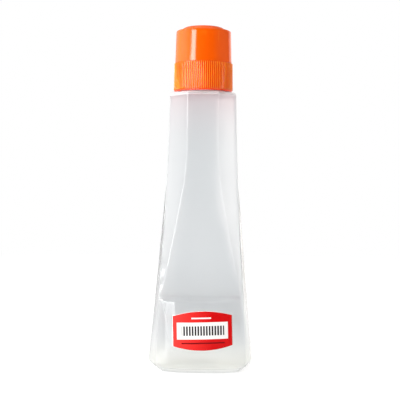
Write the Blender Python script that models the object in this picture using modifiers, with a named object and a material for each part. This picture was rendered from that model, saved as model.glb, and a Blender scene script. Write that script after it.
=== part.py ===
"""Glue applicator bottle: a faceted squeeze bottle, its mesh-covered sponge head and its ribbed screw cap.

Metres, +Z up. The origin is the centre of the surface that the bottle stands on, and the front, with
the label, looks along -Y. The bottle is a loft between unlike sections, made a wall by Solidify. Every
round piece is a turned profile.
"""
import math
from collections import namedtuple

import bmesh
import bpy
from mathutils import Matrix, Vector

# ---------------------------------------------------------------- driving dimensions (metres)
# Clearances
FIT_GAP = 0.0003            # between pieces that touch or press together
LABEL_GAP = 0.0001          # adhesive line under the label

# Bottle body: heights
SHOULDER_HEIGHT = 0.1446    # flat top of the body, round the neck
BEND_HEIGHT = 0.105         # where the narrow grip starts to flare
BEND_SOFTNESS = 0.012       # half height over which that bend is rounded
LEDGE_TOP_HEIGHT = 0.0390   # foot of the flat front facet, at its middle
LEDGE_FOOT_HEIGHT = 0.0368  # top of the bulged label panel, at its middle
LEDGE_DIP = 0.0012          # how far the ledge sags from its ends to its middle
PANEL_START_HEIGHT = 0.0335  # below this the label panel is plain
HEEL_HEIGHT = 0.0052        # where the rounded heel begins

# Bottle body: plan sizes, half of the full width or depth
SHOULDER_RADIUS = 0.0020    # rounding between body and shoulder
GRIP_HALF_WIDTH = 0.0171
GRIP_HALF_DEPTH = 0.0171
GRIP_FACET_HALF = 0.0080    # half width of the front and side facets of the eight-sided grip
BEND_HALF_WIDTH = 0.0181
LEDGE_HALF_WIDTH = 0.0239
LEDGE_CREASE_HALF = 0.0217  # front corner of the body at the ledge
LEDGE_HALF_DEPTH = 0.0144
LEDGE_FACET_HALF = 0.0203
BASE_HALF_WIDTH = 0.0279
BASE_CREASE_HALF = 0.0235
BASE_CORNER_DEPTH = 0.0140
PANEL_BULGE = 0.0043        # how far the label panel stands out from its corners
PANEL_ROUNDNESS = 0.80      # 1 is a plain parabola, less is flatter in the middle
SIDE_CROWN = 1.4            # above 1 rounds the side faces at the parting line

# Bottle: foot, wall and neck
FOOT_INSET_X = 0.0042
FOOT_INSET_Y = 0.0044
FOOT_HEIGHT = 0.0019
FOOT_EDGE = 0.0005
FOOT_LAND = 0.0028          # width of the rim that the bottle stands on
PUSH_UP = 0.0015            # height of the hollowed underside
BODY_WALL = 0.0012
NECK_RADIUS = 0.0114
NECK_HEIGHT = 0.0149
NECK_FILLET = 0.0012
BEAD_HEIGHT = 0.0012
BEAD_RISE = 0.0017          # bottom of the bead above the shoulder
BEAD_PROUD = 0.0010

# Label
LABEL_HALF_WIDTH = 0.0153
LABEL_SIDE_HALF = 0.0078    # half height at its ends
LABEL_MID_HALF = 0.0102     # half height in the middle
LABEL_THICKNESS = 0.0003
LABEL_HEIGHT = 0.0224
LABEL_SHIFT = 0.0006
LABEL_TILT = math.radians(1.7)

# Applicator head
FLANGE_PROUD = 0.0008       # flange beyond the neck
FLANGE_THICKNESS = 0.0014
STEM_LENGTH = 0.0090
STEM_WALL = 0.0012
STEM_LEAD_IN = 0.0006
COLLAR_HEIGHT = 0.0030      # above the flange
COLLAR_WALL = 0.0013
FLOOR_THICKNESS = 0.0012
FEED_HOLE_RADIUS = 0.0011
FEED_HOLE_COUNT = 6
SPONGE_RADIUS_LOSS = 0.0009  # sponge cylinder to sponge dome
SPONGE_DOME = 0.0072        # height of the dome above the net's rim
NET_THICKNESS = 0.0004
RING_WALL = 0.0012
RING_LIP = 0.0011           # thickness of the lip that clamps the net
LIP_OVERLAP = 0.0010        # how far the lip reaches in over the collar

# Screw cap
SHOULDER_CLEARANCE = 0.0006
THREAD_ROOM = 0.0019        # between neck and skirt, for the two threads
SKIRT_WALL = 0.0016
CAP_DRAFT_LOW = 0.0003      # skirt radius lost up to the top of the ribs
CAP_DRAFT_HIGH = 0.0006     # radius lost from there to the rim
RIB_COUNT = 90
RIB_PROUD = 0.00047
RIB_ROOT_WIDTH = 0.00062
RIB_CREST_WIDTH = 0.00034
RIB_SINK = 0.0003
RIB_BAND = 0.0150           # height of the ribbed skirt
SEAL_THICKNESS = 0.0012
SEAL_WIDTH = 0.0017
SHELF_HEIGHT = 0.0012
SHELF_REACH = 0.0011
CAP_HEADROOM = 0.0050       # between the net and the inside of the cap
CAP_TOP_WALL = 0.0017
RIM_DROP = 0.0023           # from the cap's top down to its outer rim
RIM_RADIUS = 0.0005
LEDGE_RISE = 0.00015        # from the rim inward to the foot of the plateau
PLATEAU_FOOT_RADIUS = 0.0117
PLATEAU_EDGE_RADIUS = 0.0112
PLATEAU_EDGE_DROP = 0.0009  # from the cap's top down to the plateau's shoulder
PLATEAU_TOP_RADIUS = 0.0097
CEILING_CHAMFER_WIDTH = 0.0022
CEILING_CHAMFER_HEIGHT = 0.0025

# Facets
FRONT_STEPS = 5             # segments of half the front panel
CORNER_STEPS = 4
SIDE_STEPS = 3
ROUND_STEPS = 40
CAP_STEPS = RIB_COUNT // 2
SHARP_ANGLE = math.radians(30)
MERGE = 0.00001

# ---------------------------------------------------------------- sizes that follow
SHOULDER_EDGE = SHOULDER_HEIGHT - SHOULDER_RADIUS
NECK_BORE = NECK_RADIUS - BODY_WALL
NECK_RIM = SHOULDER_HEIGHT + NECK_HEIGHT

STEM_RADIUS = NECK_BORE - FIT_GAP
STEM_BORE = STEM_RADIUS - STEM_WALL
FLANGE_RADIUS = NECK_RADIUS + FLANGE_PROUD
FLANGE_BOTTOM = NECK_RIM + FIT_GAP
FLANGE_TOP = FLANGE_BOTTOM + FLANGE_THICKNESS
COLLAR_TOP = FLANGE_TOP + COLLAR_HEIGHT
COLLAR_RADIUS = STEM_RADIUS - FIT_GAP
COLLAR_BORE = COLLAR_RADIUS - COLLAR_WALL
FLOOR_TOP = FLANGE_BOTTOM + FLOOR_THICKNESS

SPONGE_RADIUS = COLLAR_BORE - FIT_GAP
DOME_RADIUS = SPONGE_RADIUS - SPONGE_RADIUS_LOSS
NET_SEAT = COLLAR_TOP + FIT_GAP
NET_TOP = NET_SEAT + SPONGE_DOME + FIT_GAP + NET_THICKNESS
RING_BORE = COLLAR_RADIUS + FIT_GAP
RING_RADIUS = RING_BORE + RING_WALL
LIP_BOTTOM = NET_SEAT + NET_THICKNESS + FIT_GAP
LIP_BORE = COLLAR_RADIUS - LIP_OVERLAP

CAP_BOTTOM = SHOULDER_HEIGHT + SHOULDER_CLEARANCE
SKIRT_BORE = NECK_RADIUS + THREAD_ROOM
SKIRT_RADIUS = SKIRT_BORE + SKIRT_WALL
BAND_RADIUS = SKIRT_RADIUS - CAP_DRAFT_LOW
RIM_WALL_RADIUS = BAND_RADIUS - CAP_DRAFT_HIGH
BAND_TOP = CAP_BOTTOM + RIB_BAND
SEAL_BOTTOM = FLANGE_TOP + FIT_GAP
SHELF_BOTTOM = SEAL_BOTTOM + SEAL_THICKNESS + FIT_GAP
SEAL_RADIUS = SKIRT_BORE - FIT_GAP
CAP_CEILING = NET_TOP + CAP_HEADROOM
CAP_TOP = CAP_CEILING + CAP_TOP_WALL

Section = namedtuple("Section", "half_width crease_x crease_y facet_x facet_y bulge dip")


# ---------------------------------------------------------------- scene and material helpers
def clear_scene():
    """Remove what the start-up scene holds."""
    for item in list(bpy.data.objects):
        bpy.data.objects.remove(item, do_unlink=True)


def new_collection(name):
    """A collection linked to the scene."""
    made = bpy.data.collections.new(name)
    bpy.context.scene.collection.children.link(made)
    return made


def new_material(name, colour, roughness, metallic=0.0):
    """A plain Principled material."""
    made = bpy.data.materials.new(name)
    made.use_nodes = True
    shader = made.node_tree.nodes["Principled BSDF"]
    shader.inputs["Base Color"].default_value = (*colour, 1.0)
    shader.inputs["Roughness"].default_value = roughness
    shader.inputs["Metallic"].default_value = metallic
    return made


def new_object(name, mesh, group, material=None):
    """An object in one of the two collections."""
    made = bpy.data.objects.new(name, mesh)
    group.objects.link(made)
    if material is not None:
        mesh.materials.append(material)
    return made


def mesh_from(name, points, edges=(), faces=()):
    """A mesh from points and whatever joins them."""
    mesh = bpy.data.meshes.new(name)
    mesh.from_pydata([tuple(point) for point in points], list(edges), list(faces))
    mesh.update()
    return mesh


def smooth(target):
    """Smooth shading that keeps the edges which are meant to be edges."""
    target.data.shade_smooth()
    target.data.set_sharp_from_angle(angle=SHARP_ANGLE)


def as_cutter(target):
    """Mark an object as a tool of a Boolean and not as a piece."""
    target.hide_render = True
    target.display_type = "WIRE"
    return target


def combine(target, tool, operation):
    """Join a tool to a piece, or cut it away."""
    modifier = target.modifiers.new(tool.name, "BOOLEAN")
    modifier.operation = operation
    modifier.solver = "EXACT"
    modifier.object = as_cutter(tool)


def turned(name, profile, group, material=None, steps=ROUND_STEPS, height=0.0):
    """A profile of (radius, height) points, spun round Z. It runs down the outer side first.

    A profile that starts on the axis is a solid of revolution, and any other is closed into a ring.
    The object's origin is at the given height, on the axis.
    """
    points = [(radius, 0.0, z - height) for radius, z in profile]
    edges = [(i, i + 1) for i in range(len(points) - 1)]
    if profile[0][0] > 0.0:
        edges.append((len(points) - 1, 0))
    made = new_object(name, mesh_from(name, points, edges), group, material)
    made.location.z = height
    spin = made.modifiers.new("Screw", "SCREW")
    spin.steps = steps
    spin.render_steps = steps
    spin.use_merge_vertices = True
    spin.merge_threshold = MERGE
    spin.use_smooth_shade = True
    return made


def arc(centre, radii, start, end, steps):
    """Points (radius, height) along an ellipse's arc; angles in degrees from the outward direction."""
    angles = [math.radians(start + (end - start) * i / steps) for i in range(steps + 1)]
    return [(centre[0] + radii[0] * math.cos(a), centre[1] + radii[1] * math.sin(a)) for a in angles]


# ---------------------------------------------------------------- the bottle's sections
def soft_ramp(drop):
    """Zero above the bend, the drop below it, and a parabola that joins the two."""
    if drop <= -BEND_SOFTNESS:
        return 0.0
    if drop >= BEND_SOFTNESS:
        return drop
    return (drop + BEND_SOFTNESS) ** 2 / (4.0 * BEND_SOFTNESS)


def down_the_grip(shoulder, bend, ledge, height):
    """A size that runs straight from shoulder to bend and from bend to ledge, with a soft bend."""
    upper = (bend - shoulder) / (SHOULDER_EDGE - BEND_HEIGHT)
    lower = (ledge - bend) / (BEND_HEIGHT - LEDGE_TOP_HEIGHT)
    straight = shoulder + upper * (SHOULDER_EDGE - height)
    return straight + (lower - upper) * soft_ramp(BEND_HEIGHT - height)


def grip_section(height):
    """The eight-sided section above the ledge, whose corner facets narrow to nothing there."""
    fall = (SHOULDER_EDGE - height) / (SHOULDER_EDGE - LEDGE_TOP_HEIGHT)
    near_ledge = max(0.0, 1.0 - (height - LEDGE_TOP_HEIGHT) / (BEND_HEIGHT - LEDGE_TOP_HEIGHT))
    return Section(
        half_width=down_the_grip(GRIP_HALF_WIDTH, BEND_HALF_WIDTH, LEDGE_HALF_WIDTH, height),
        crease_x=down_the_grip(GRIP_HALF_WIDTH, BEND_HALF_WIDTH, LEDGE_CREASE_HALF, height),
        crease_y=down_the_grip(GRIP_FACET_HALF, GRIP_FACET_HALF, LEDGE_HALF_DEPTH, height),
        facet_x=down_the_grip(GRIP_FACET_HALF, GRIP_FACET_HALF, LEDGE_FACET_HALF, height),
        facet_y=GRIP_HALF_DEPTH + (LEDGE_HALF_DEPTH - GRIP_HALF_DEPTH) * fall,
        bulge=0.0,
        dip=LEDGE_DIP * near_ledge ** 3,
    )


def panel_section(height):
    """The section below the ledge: a bulged front and back, and sides that lean out to the seam."""
    fall = (LEDGE_TOP_HEIGHT - height) / LEDGE_TOP_HEIGHT
    corner = LEDGE_HALF_DEPTH + (BASE_CORNER_DEPTH - LEDGE_HALF_DEPTH) * fall
    from_ledge = (height - PANEL_START_HEIGHT) / (LEDGE_FOOT_HEIGHT - PANEL_START_HEIGHT)
    crease = LEDGE_CREASE_HALF + (BASE_CREASE_HALF - LEDGE_CREASE_HALF) * fall
    return Section(
        half_width=LEDGE_HALF_WIDTH + (BASE_HALF_WIDTH - LEDGE_HALF_WIDTH) * fall,
        crease_x=crease,
        crease_y=corner,
        facet_x=crease * LEDGE_FACET_HALF / LEDGE_CREASE_HALF,
        facet_y=corner,
        bulge=PANEL_BULGE,
        dip=LEDGE_DIP * min(1.0, max(0.0, from_ledge)),
    )


def front_depth(section, x):
    """How far the front stands from the middle plane at x."""
    across = max(0.0, abs(x) - section.facet_x) / (section.crease_x - section.facet_x)
    flat = section.facet_y + (section.crease_y - section.facet_y) * across
    share = (x / section.crease_x) ** 2
    return flat + section.bulge * (1.0 - PANEL_ROUNDNESS * share - (1.0 - PANEL_ROUNDNESS) * share ** 2)


def quarter_outline(section):
    """Points from the middle of the front to the middle of the right side."""
    front = [section.facet_x * i / FRONT_STEPS for i in range(FRONT_STEPS)]
    width = section.crease_x - section.facet_x
    front += [section.facet_x + width * i / CORNER_STEPS for i in range(CORNER_STEPS)]
    points = [(x, -front_depth(section, x)) for x in front]
    for i in range(SIDE_STEPS + 1):
        left = 1.0 - i / SIDE_STEPS
        x = section.half_width - (section.half_width - section.crease_x) * left ** SIDE_CROWN
        points.append((x, -section.crease_y * left))
    return points


def ring(section, height, scale_x=1.0, scale_y=1.0):
    """One closed ring of the loft, anticlockwise from above; its ends rise by the dip."""
    right = quarter_outline(section)
    back = [(x, -y) for x, y in reversed(right[:-1])]
    half = right + back
    outline = half + [(-x, y) for x, y in reversed(half[1:-1])]
    points = []
    for x, y in outline:
        rise = section.dip * (x / section.half_width) ** 2
        points.append(Vector((x * scale_x, y * scale_y, height + rise)))
    return points


def base_rings():
    """Underside, standing rim, foot and rounded heel, from the middle outwards and up."""
    section = panel_section(HEEL_HEIGHT)
    depth = front_depth(section, 0.0)
    rings = []

    def inset_ring(inset, height):
        share = inset / FOOT_INSET_X
        scale_x = 1.0 - inset / section.half_width
        scale_y = 1.0 - share * FOOT_INSET_Y / depth
        rings.append(ring(section, height, scale_x, scale_y))

    rim_inside = FOOT_INSET_X + FOOT_EDGE + FOOT_LAND
    inset_ring(3.0 * FOOT_INSET_X, PUSH_UP)
    inset_ring(rim_inside + PUSH_UP, PUSH_UP)
    inset_ring(rim_inside, 0.0)
    inset_ring(FOOT_INSET_X + FOOT_EDGE, 0.0)
    inset_ring(FOOT_INSET_X, FOOT_EDGE)
    inset_ring(FOOT_INSET_X, FOOT_HEIGHT - FOOT_EDGE)
    heel = arc((0.0, HEEL_HEIGHT), (1.0, HEEL_HEIGHT - FOOT_HEIGHT), -84.0, -12.0, 4)
    for reach, height in heel:
        inset_ring((1.0 - reach) * (FOOT_INSET_X - FOOT_EDGE), height)
    return rings


def body_rings():
    """The label panel, the ledge and the grip, from the heel up to the shoulder's edge."""
    rings = [ring(panel_section(z), z) for z in (HEEL_HEIGHT, PANEL_START_HEIGHT, LEDGE_FOOT_HEIGHT)]
    soft = [BEND_HEIGHT + BEND_SOFTNESS * share for share in (-1.0, -0.33, 0.33, 1.0)]
    middle = 0.5 * (LEDGE_TOP_HEIGHT + soft[0])
    for z in (LEDGE_TOP_HEIGHT, middle, *soft, SHOULDER_EDGE):
        rings.append(ring(grip_section(z), z))
    return rings


def shoulder_rings():
    """The rounded shoulder, and the loft from its eight sides to the round neck."""
    section = grip_section(SHOULDER_EDGE)
    rings = []
    for reach, rise in arc((0.0, 0.0), (1.0, 1.0), 25.0, 90.0, 3):
        inset = SHOULDER_RADIUS * (1.0 - reach)
        scale = 1.0 - inset / section.half_width
        rings.append(ring(section, SHOULDER_EDGE + SHOULDER_RADIUS * rise, scale, scale))
    fillet = arc((NECK_RADIUS + NECK_FILLET, SHOULDER_HEIGHT + NECK_FILLET),
                 (NECK_FILLET, NECK_FILLET), 270.0, 180.0, 2)
    directions = [point.to_2d().normalized() for point in rings[-1]]
    for radius, height in fillet + [(NECK_RADIUS, NECK_RIM)]:
        rings.append([Vector((*(direction * radius), height)) for direction in directions])
    return rings


def make_bottle(parts, tools, material):
    """Loft the open skin from underside to neck, give it its wall, and add the bead round the neck."""
    rings = base_rings() + body_rings() + shoulder_rings()
    count = len(rings[0])
    points = [point for one in rings for point in one]
    faces = [tuple(reversed(range(count)))]
    for level in range(len(rings) - 1):
        low = level * count
        for k in range(count):
            after = (k + 1) % count
            faces.append((low + k, low + after, low + count + after, low + count + k))
    bottle = new_object("bottle", mesh_from("bottle", points, faces=faces), parts, material)
    wall = bottle.modifiers.new("Wall", "SOLIDIFY")
    wall.thickness = BODY_WALL
    wall.offset = -1.0
    wall.use_even_offset = True
    bead_bottom = SHOULDER_HEIGHT + BEAD_RISE
    bead_middle = bead_bottom + 0.5 * BEAD_HEIGHT
    inside = NECK_RADIUS - 0.5 * BODY_WALL
    profile = arc((NECK_RADIUS, bead_middle), (BEAD_PROUD, 0.5 * BEAD_HEIGHT), 90.0, -90.0, 4)
    profile += [(inside, bead_bottom), (inside, bead_bottom + BEAD_HEIGHT)]
    bead = turned("neck_bead", profile, tools)
    combine(bottle, bead, "UNION")
    smooth(bottle)
    return bottle


# ---------------------------------------------------------------- the label
def make_label(parts, material):
    """A barrel-shaped sticker that follows the bulge of the label panel."""
    columns, rows = 12, 4
    turn = Matrix.Rotation(-LABEL_TILT, 3, "Y")
    points = []
    for row in range(rows + 1):
        v = 2.0 * row / rows - 1.0
        for column in range(columns + 1):
            u = 2.0 * column / columns - 1.0
            half = LABEL_SIDE_HALF + (LABEL_MID_HALF - LABEL_SIDE_HALF) * (1.0 - u * u)
            spot = turn @ Vector((LABEL_HALF_WIDTH * u, 0.0, half * v))
            x = spot.x + LABEL_SHIFT
            z = spot.z + LABEL_HEIGHT
            y = -front_depth(panel_section(z), x) - LABEL_GAP
            points.append((x, y, z))
    faces = []
    for row in range(rows):
        for column in range(columns):
            low = row * (columns + 1) + column
            faces.append((low, low + 1, low + columns + 2, low + columns + 1))
    label = new_object("label", mesh_from("label", points, faces=faces), parts, material)
    paper = label.modifiers.new("Paper", "SOLIDIFY")
    paper.thickness = LABEL_THICKNESS
    paper.offset = 1.0
    smooth(label)
    return label


# ---------------------------------------------------------------- the applicator head
def make_holder(parts, tools, material):
    """The moulded plug: a stem in the neck, a flange on its rim, and a collar with a pierced floor."""
    stem_bottom = FLANGE_BOTTOM - STEM_LENGTH
    profile = [
        (0.0, FLOOR_TOP),
        (COLLAR_BORE, FLOOR_TOP),
        (COLLAR_BORE, COLLAR_TOP),
        (COLLAR_RADIUS, COLLAR_TOP),
        (COLLAR_RADIUS, FLANGE_TOP),
        (FLANGE_RADIUS, FLANGE_TOP),
        (FLANGE_RADIUS, FLANGE_BOTTOM),
        (STEM_RADIUS, FLANGE_BOTTOM),
        (STEM_RADIUS, stem_bottom + STEM_LEAD_IN),
        (STEM_RADIUS - STEM_LEAD_IN, stem_bottom),
        (STEM_BORE, stem_bottom),
        (STEM_BORE, FLANGE_BOTTOM),
        (0.0, FLANGE_BOTTOM),
    ]
    holder = turned("applicator_holder", profile, parts, material)
    drills = bmesh.new()
    spread = 0.58 * COLLAR_BORE
    spots = [Vector((0.0, 0.0, 0.0))]
    for i in range(FEED_HOLE_COUNT):
        angle = math.tau * (i + 0.5) / FEED_HOLE_COUNT
        spots.append(Vector((spread * math.cos(angle), spread * math.sin(angle), 0.0)))
    for spot in spots:
        spot.z = 0.5 * (FLANGE_BOTTOM + FLOOR_TOP)
        bmesh.ops.create_cone(drills, cap_ends=True, segments=12, radius1=FEED_HOLE_RADIUS,
                              radius2=FEED_HOLE_RADIUS, depth=2.0 * FLOOR_THICKNESS,
                              matrix=Matrix.Translation(spot))
    mesh = bpy.data.meshes.new("feed_holes")
    drills.to_mesh(mesh)
    drills.free()
    combine(holder, new_object("feed_holes", mesh, tools), "DIFFERENCE")
    smooth(holder)
    return holder


def make_sponge(parts, material):
    """A plug of foam with a domed top, standing on the pierced floor."""
    rim = [(SPONGE_RADIUS, COLLAR_TOP), (SPONGE_RADIUS, FLOOR_TOP + FIT_GAP), (0.0, FLOOR_TOP + FIT_GAP)]
    dome = arc((0.0, NET_SEAT), (DOME_RADIUS, SPONGE_DOME), 90.0, 0.0, 8)
    dome[0] = (0.0, dome[0][1])
    sponge = turned("sponge", dome + rim, parts, material, height=COLLAR_TOP)
    smooth(sponge)
    return sponge


def make_net(parts, material):
    """The net over the sponge: a thin dome with a flat rim that lies on the collar."""
    inner_radius = DOME_RADIUS + FIT_GAP
    inner_height = SPONGE_DOME + FIT_GAP
    rise = NET_THICKNESS
    outer = arc((0.0, NET_SEAT), (inner_radius + rise, inner_height + rise), 90.0, 12.0, 7)
    inner = arc((0.0, NET_SEAT), (inner_radius, inner_height), 0.0, 90.0, 7)
    outer[0] = (0.0, outer[0][1])
    inner[-1] = (0.0, inner[-1][1])
    rim = [
        (inner_radius + 1.5 * rise, NET_SEAT + rise),
        (COLLAR_RADIUS, NET_SEAT + rise),
        (COLLAR_RADIUS, NET_SEAT),
    ]
    net = turned("mesh_cover", outer + rim + inner, parts, material, height=NET_SEAT)
    smooth(net)
    return net


def make_ring(parts, material):
    """The clamp ring: a skirt round the collar and a lip over the net's rim."""
    bottom = FLANGE_TOP + FIT_GAP
    top = LIP_BOTTOM + RING_LIP
    ease = 0.4 * RING_LIP
    profile = [
        (LIP_BORE + ease, top),
        (RING_RADIUS - ease, top),
        (RING_RADIUS, top - ease),
        (RING_RADIUS, bottom),
        (RING_BORE, bottom),
        (RING_BORE, LIP_BOTTOM),
        (LIP_BORE, LIP_BOTTOM),
        (LIP_BORE, top - ease),
    ]
    clamp = turned("mesh_ring", profile, parts, material)
    smooth(clamp)
    return clamp


# ---------------------------------------------------------------- the screw cap
def make_seal(parts, material):
    """The soft washer between the cap's shelf and the head's flange."""
    top = SEAL_BOTTOM + SEAL_THICKNESS
    inside = SEAL_RADIUS - SEAL_WIDTH
    profile = [(inside, top), (SEAL_RADIUS, top), (SEAL_RADIUS, SEAL_BOTTOM), (inside, SEAL_BOTTOM)]
    seal = turned("cap_seal", profile, parts, material, height=SEAL_BOTTOM)
    smooth(seal)
    return seal


def cap_profile():
    """Half section of the cap without its ribs, from the top down the outside and up the inside."""
    edge = SKIRT_WALL * 0.2
    rim = CAP_TOP - RIM_DROP
    rim_centre = (RIM_WALL_RADIUS - RIM_RADIUS, rim - RIM_RADIUS)
    room = RIM_WALL_RADIUS - SKIRT_WALL
    shelf_bore = SKIRT_BORE - SHELF_REACH
    shelf_top = SHELF_BOTTOM + SHELF_HEIGHT
    profile = [(0.0, CAP_TOP), (PLATEAU_TOP_RADIUS, CAP_TOP)]
    profile += [(PLATEAU_EDGE_RADIUS, CAP_TOP - PLATEAU_EDGE_DROP), (PLATEAU_FOOT_RADIUS, rim + LEDGE_RISE)]
    profile += arc(rim_centre, (RIM_RADIUS, RIM_RADIUS), 90.0, 0.0, 2)
    profile += [(BAND_RADIUS, BAND_TOP), (SKIRT_RADIUS, CAP_BOTTOM + edge)]
    profile += [(SKIRT_RADIUS - edge, CAP_BOTTOM), (SKIRT_BORE + edge, CAP_BOTTOM)]
    profile += [(SKIRT_BORE, CAP_BOTTOM + edge), (SKIRT_BORE, SHELF_BOTTOM)]
    profile += [(shelf_bore, SHELF_BOTTOM), (shelf_bore, shelf_top)]
    profile += [(room, shelf_top + 0.5 * SHELF_REACH)]
    profile += [(room, CAP_CEILING - CEILING_CHAMFER_HEIGHT)]
    profile += [(room - CEILING_CHAMFER_WIDTH, CAP_CEILING), (0.0, CAP_CEILING)]
    return profile


def cap_ribs(tools):
    """The grip ribs in one tool: tapered bars that follow the skirt's draft and run out at the top."""
    low = CAP_BOTTOM + 1.2 * RIB_PROUD
    slope = CAP_DRAFT_LOW / RIB_BAND
    bars = bmesh.new()
    for i in range(RIB_COUNT):
        angle = math.tau * (i + 0.5) / RIB_COUNT
        made = bmesh.ops.create_cube(bars, size=2.0)
        for vertex in made["verts"]:
            crest = vertex.co.x > 0.0
            upper = vertex.co.z > 0.0
            run_out = RIB_PROUD if crest else 0.0
            height = BAND_TOP - run_out if upper else low + run_out
            surface = SKIRT_RADIUS - slope * (height - CAP_BOTTOM)
            radius = surface + (RIB_PROUD if crest else -RIB_SINK)
            width = RIB_CREST_WIDTH if crest else RIB_ROOT_WIDTH
            vertex.co = Vector((radius, 0.5 * width * vertex.co.y, height))
        bmesh.ops.rotate(bars, verts=made["verts"], matrix=Matrix.Rotation(angle, 3, "Z"))
    mesh = bpy.data.meshes.new("grip_ribs")
    bars.to_mesh(mesh)
    bars.free()
    return new_object("grip_ribs", mesh, tools)


def make_cap(parts, tools, material):
    """The turned cap with its ribs joined on."""
    cap = turned("cap_shell", cap_profile(), parts, material, steps=CAP_STEPS)
    combine(cap, cap_ribs(tools), "UNION")
    smooth(cap)
    return cap


def main():
    """Build every piece in its place."""
    clear_scene()
    parts = new_collection("glue_applicator_bottle")
    tools = new_collection("cutters")
    orange = new_material("orange_polypropylene", (0.90, 0.13, 0.004), 0.32)
    frosted = new_material("frosted_polyethylene", (0.78, 0.80, 0.82), 0.38)
    white = new_material("white_polyethylene", (0.86, 0.86, 0.84), 0.40)
    foam = new_material("foam", (0.83, 0.78, 0.62), 0.95)
    nylon = new_material("nylon_net", (0.80, 0.80, 0.78), 0.60)
    rubber = new_material("seal_foam", (0.75, 0.75, 0.72), 0.80)
    paper = new_material("label_red", (0.70, 0.012, 0.018), 0.35)
    make_bottle(parts, tools, frosted)
    make_label(parts, paper)
    make_holder(parts, tools, white)
    make_sponge(parts, foam)
    make_net(parts, nylon)
    make_ring(parts, white)
    make_seal(parts, rubber)
    make_cap(parts, tools, orange)


main()
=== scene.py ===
"""Looks of the glue applicator bottle: frosted squeeze bottle, red label, sponge head and orange screw cap.

Metres, +Z up, front along -Y, and the origin under the middle of the bottle. Every new piece is a surface
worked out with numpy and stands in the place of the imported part's node.
"""

import logging
import math
from dataclasses import dataclass
from enum import Enum
from typing import Any, Callable, Iterable, Optional, Sequence, Union

import bpy
import numpy as np
from mathutils import Matrix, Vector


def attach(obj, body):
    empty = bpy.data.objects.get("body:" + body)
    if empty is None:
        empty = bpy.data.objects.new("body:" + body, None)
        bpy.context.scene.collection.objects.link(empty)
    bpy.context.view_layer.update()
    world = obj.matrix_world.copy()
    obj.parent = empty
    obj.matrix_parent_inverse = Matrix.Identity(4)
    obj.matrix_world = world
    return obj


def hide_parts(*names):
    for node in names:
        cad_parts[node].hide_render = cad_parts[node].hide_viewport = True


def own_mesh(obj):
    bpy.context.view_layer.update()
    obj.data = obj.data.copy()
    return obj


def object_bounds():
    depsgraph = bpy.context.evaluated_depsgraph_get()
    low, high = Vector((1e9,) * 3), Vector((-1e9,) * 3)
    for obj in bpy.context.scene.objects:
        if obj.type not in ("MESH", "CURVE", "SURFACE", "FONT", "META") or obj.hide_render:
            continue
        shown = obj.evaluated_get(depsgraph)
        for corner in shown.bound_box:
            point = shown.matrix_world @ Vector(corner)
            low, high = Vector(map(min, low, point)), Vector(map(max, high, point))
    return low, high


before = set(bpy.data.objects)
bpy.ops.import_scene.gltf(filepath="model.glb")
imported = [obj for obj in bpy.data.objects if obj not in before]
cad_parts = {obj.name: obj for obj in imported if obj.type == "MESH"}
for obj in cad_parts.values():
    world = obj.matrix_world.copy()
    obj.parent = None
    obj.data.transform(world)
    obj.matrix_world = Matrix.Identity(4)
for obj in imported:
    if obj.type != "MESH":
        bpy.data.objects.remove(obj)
CAD_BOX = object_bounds()
LOG = logging.getLogger("glue_bottle")

Array = np.ndarray
Colour = tuple[float, float, float]
Span = tuple[float, float]
Piece = bpy.types.Object
Material = bpy.types.Material
Tree = bpy.types.NodeTree
Node = bpy.types.Node
Socket = bpy.types.NodeSocket
Feed = Union[float, Colour, Socket]
Share = Union[float, Array]

WHITE: Colour = (1.0, 1.0, 1.0)
BLACK: Colour = (0.0, 0.0, 0.0)
SAME_SPOT = 1e-7          # metres: two points closer than this are one
HAIR = 1e-6               # metres: a margin that no size depends on
CORNER_SHARE = 0.48       # the most of a side that one rounded corner takes
CORNER_STEPS = 4          # spans of a rounded corner
MIX_SOCKETS = (0, 6, 7)   # a Mix node's factor and its two colours
MIX_RESULT = 2            # the colour that it gives
SWELL_EDGES = (0.3, 0.7)  # where the grain's slow swell counts as low and as high
QUARTERS = np.linspace(0.0, 1.0, 5)[1:-1].reshape(-1, 1, 1)


class Body(Enum):
    """The bodies that the pieces ride on, by the names that the frame gives them."""

    BOTTLE = "bottle"
    HEAD = "applicator"
    CAP = "cap"
    CARRIAGE = "cap_carriage"


class Slot(Enum):
    """The material slots of the part's record."""

    BOTTLE = "bottle_plastic"
    LABEL = "label_paper"
    HOLDER = "holder_plastic"
    RING = "ring_plastic"
    SPONGE = "sponge_foam"
    NET = "net_nylon"
    SEAL = "seal_foam"
    CAP = "cap_plastic"


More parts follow.
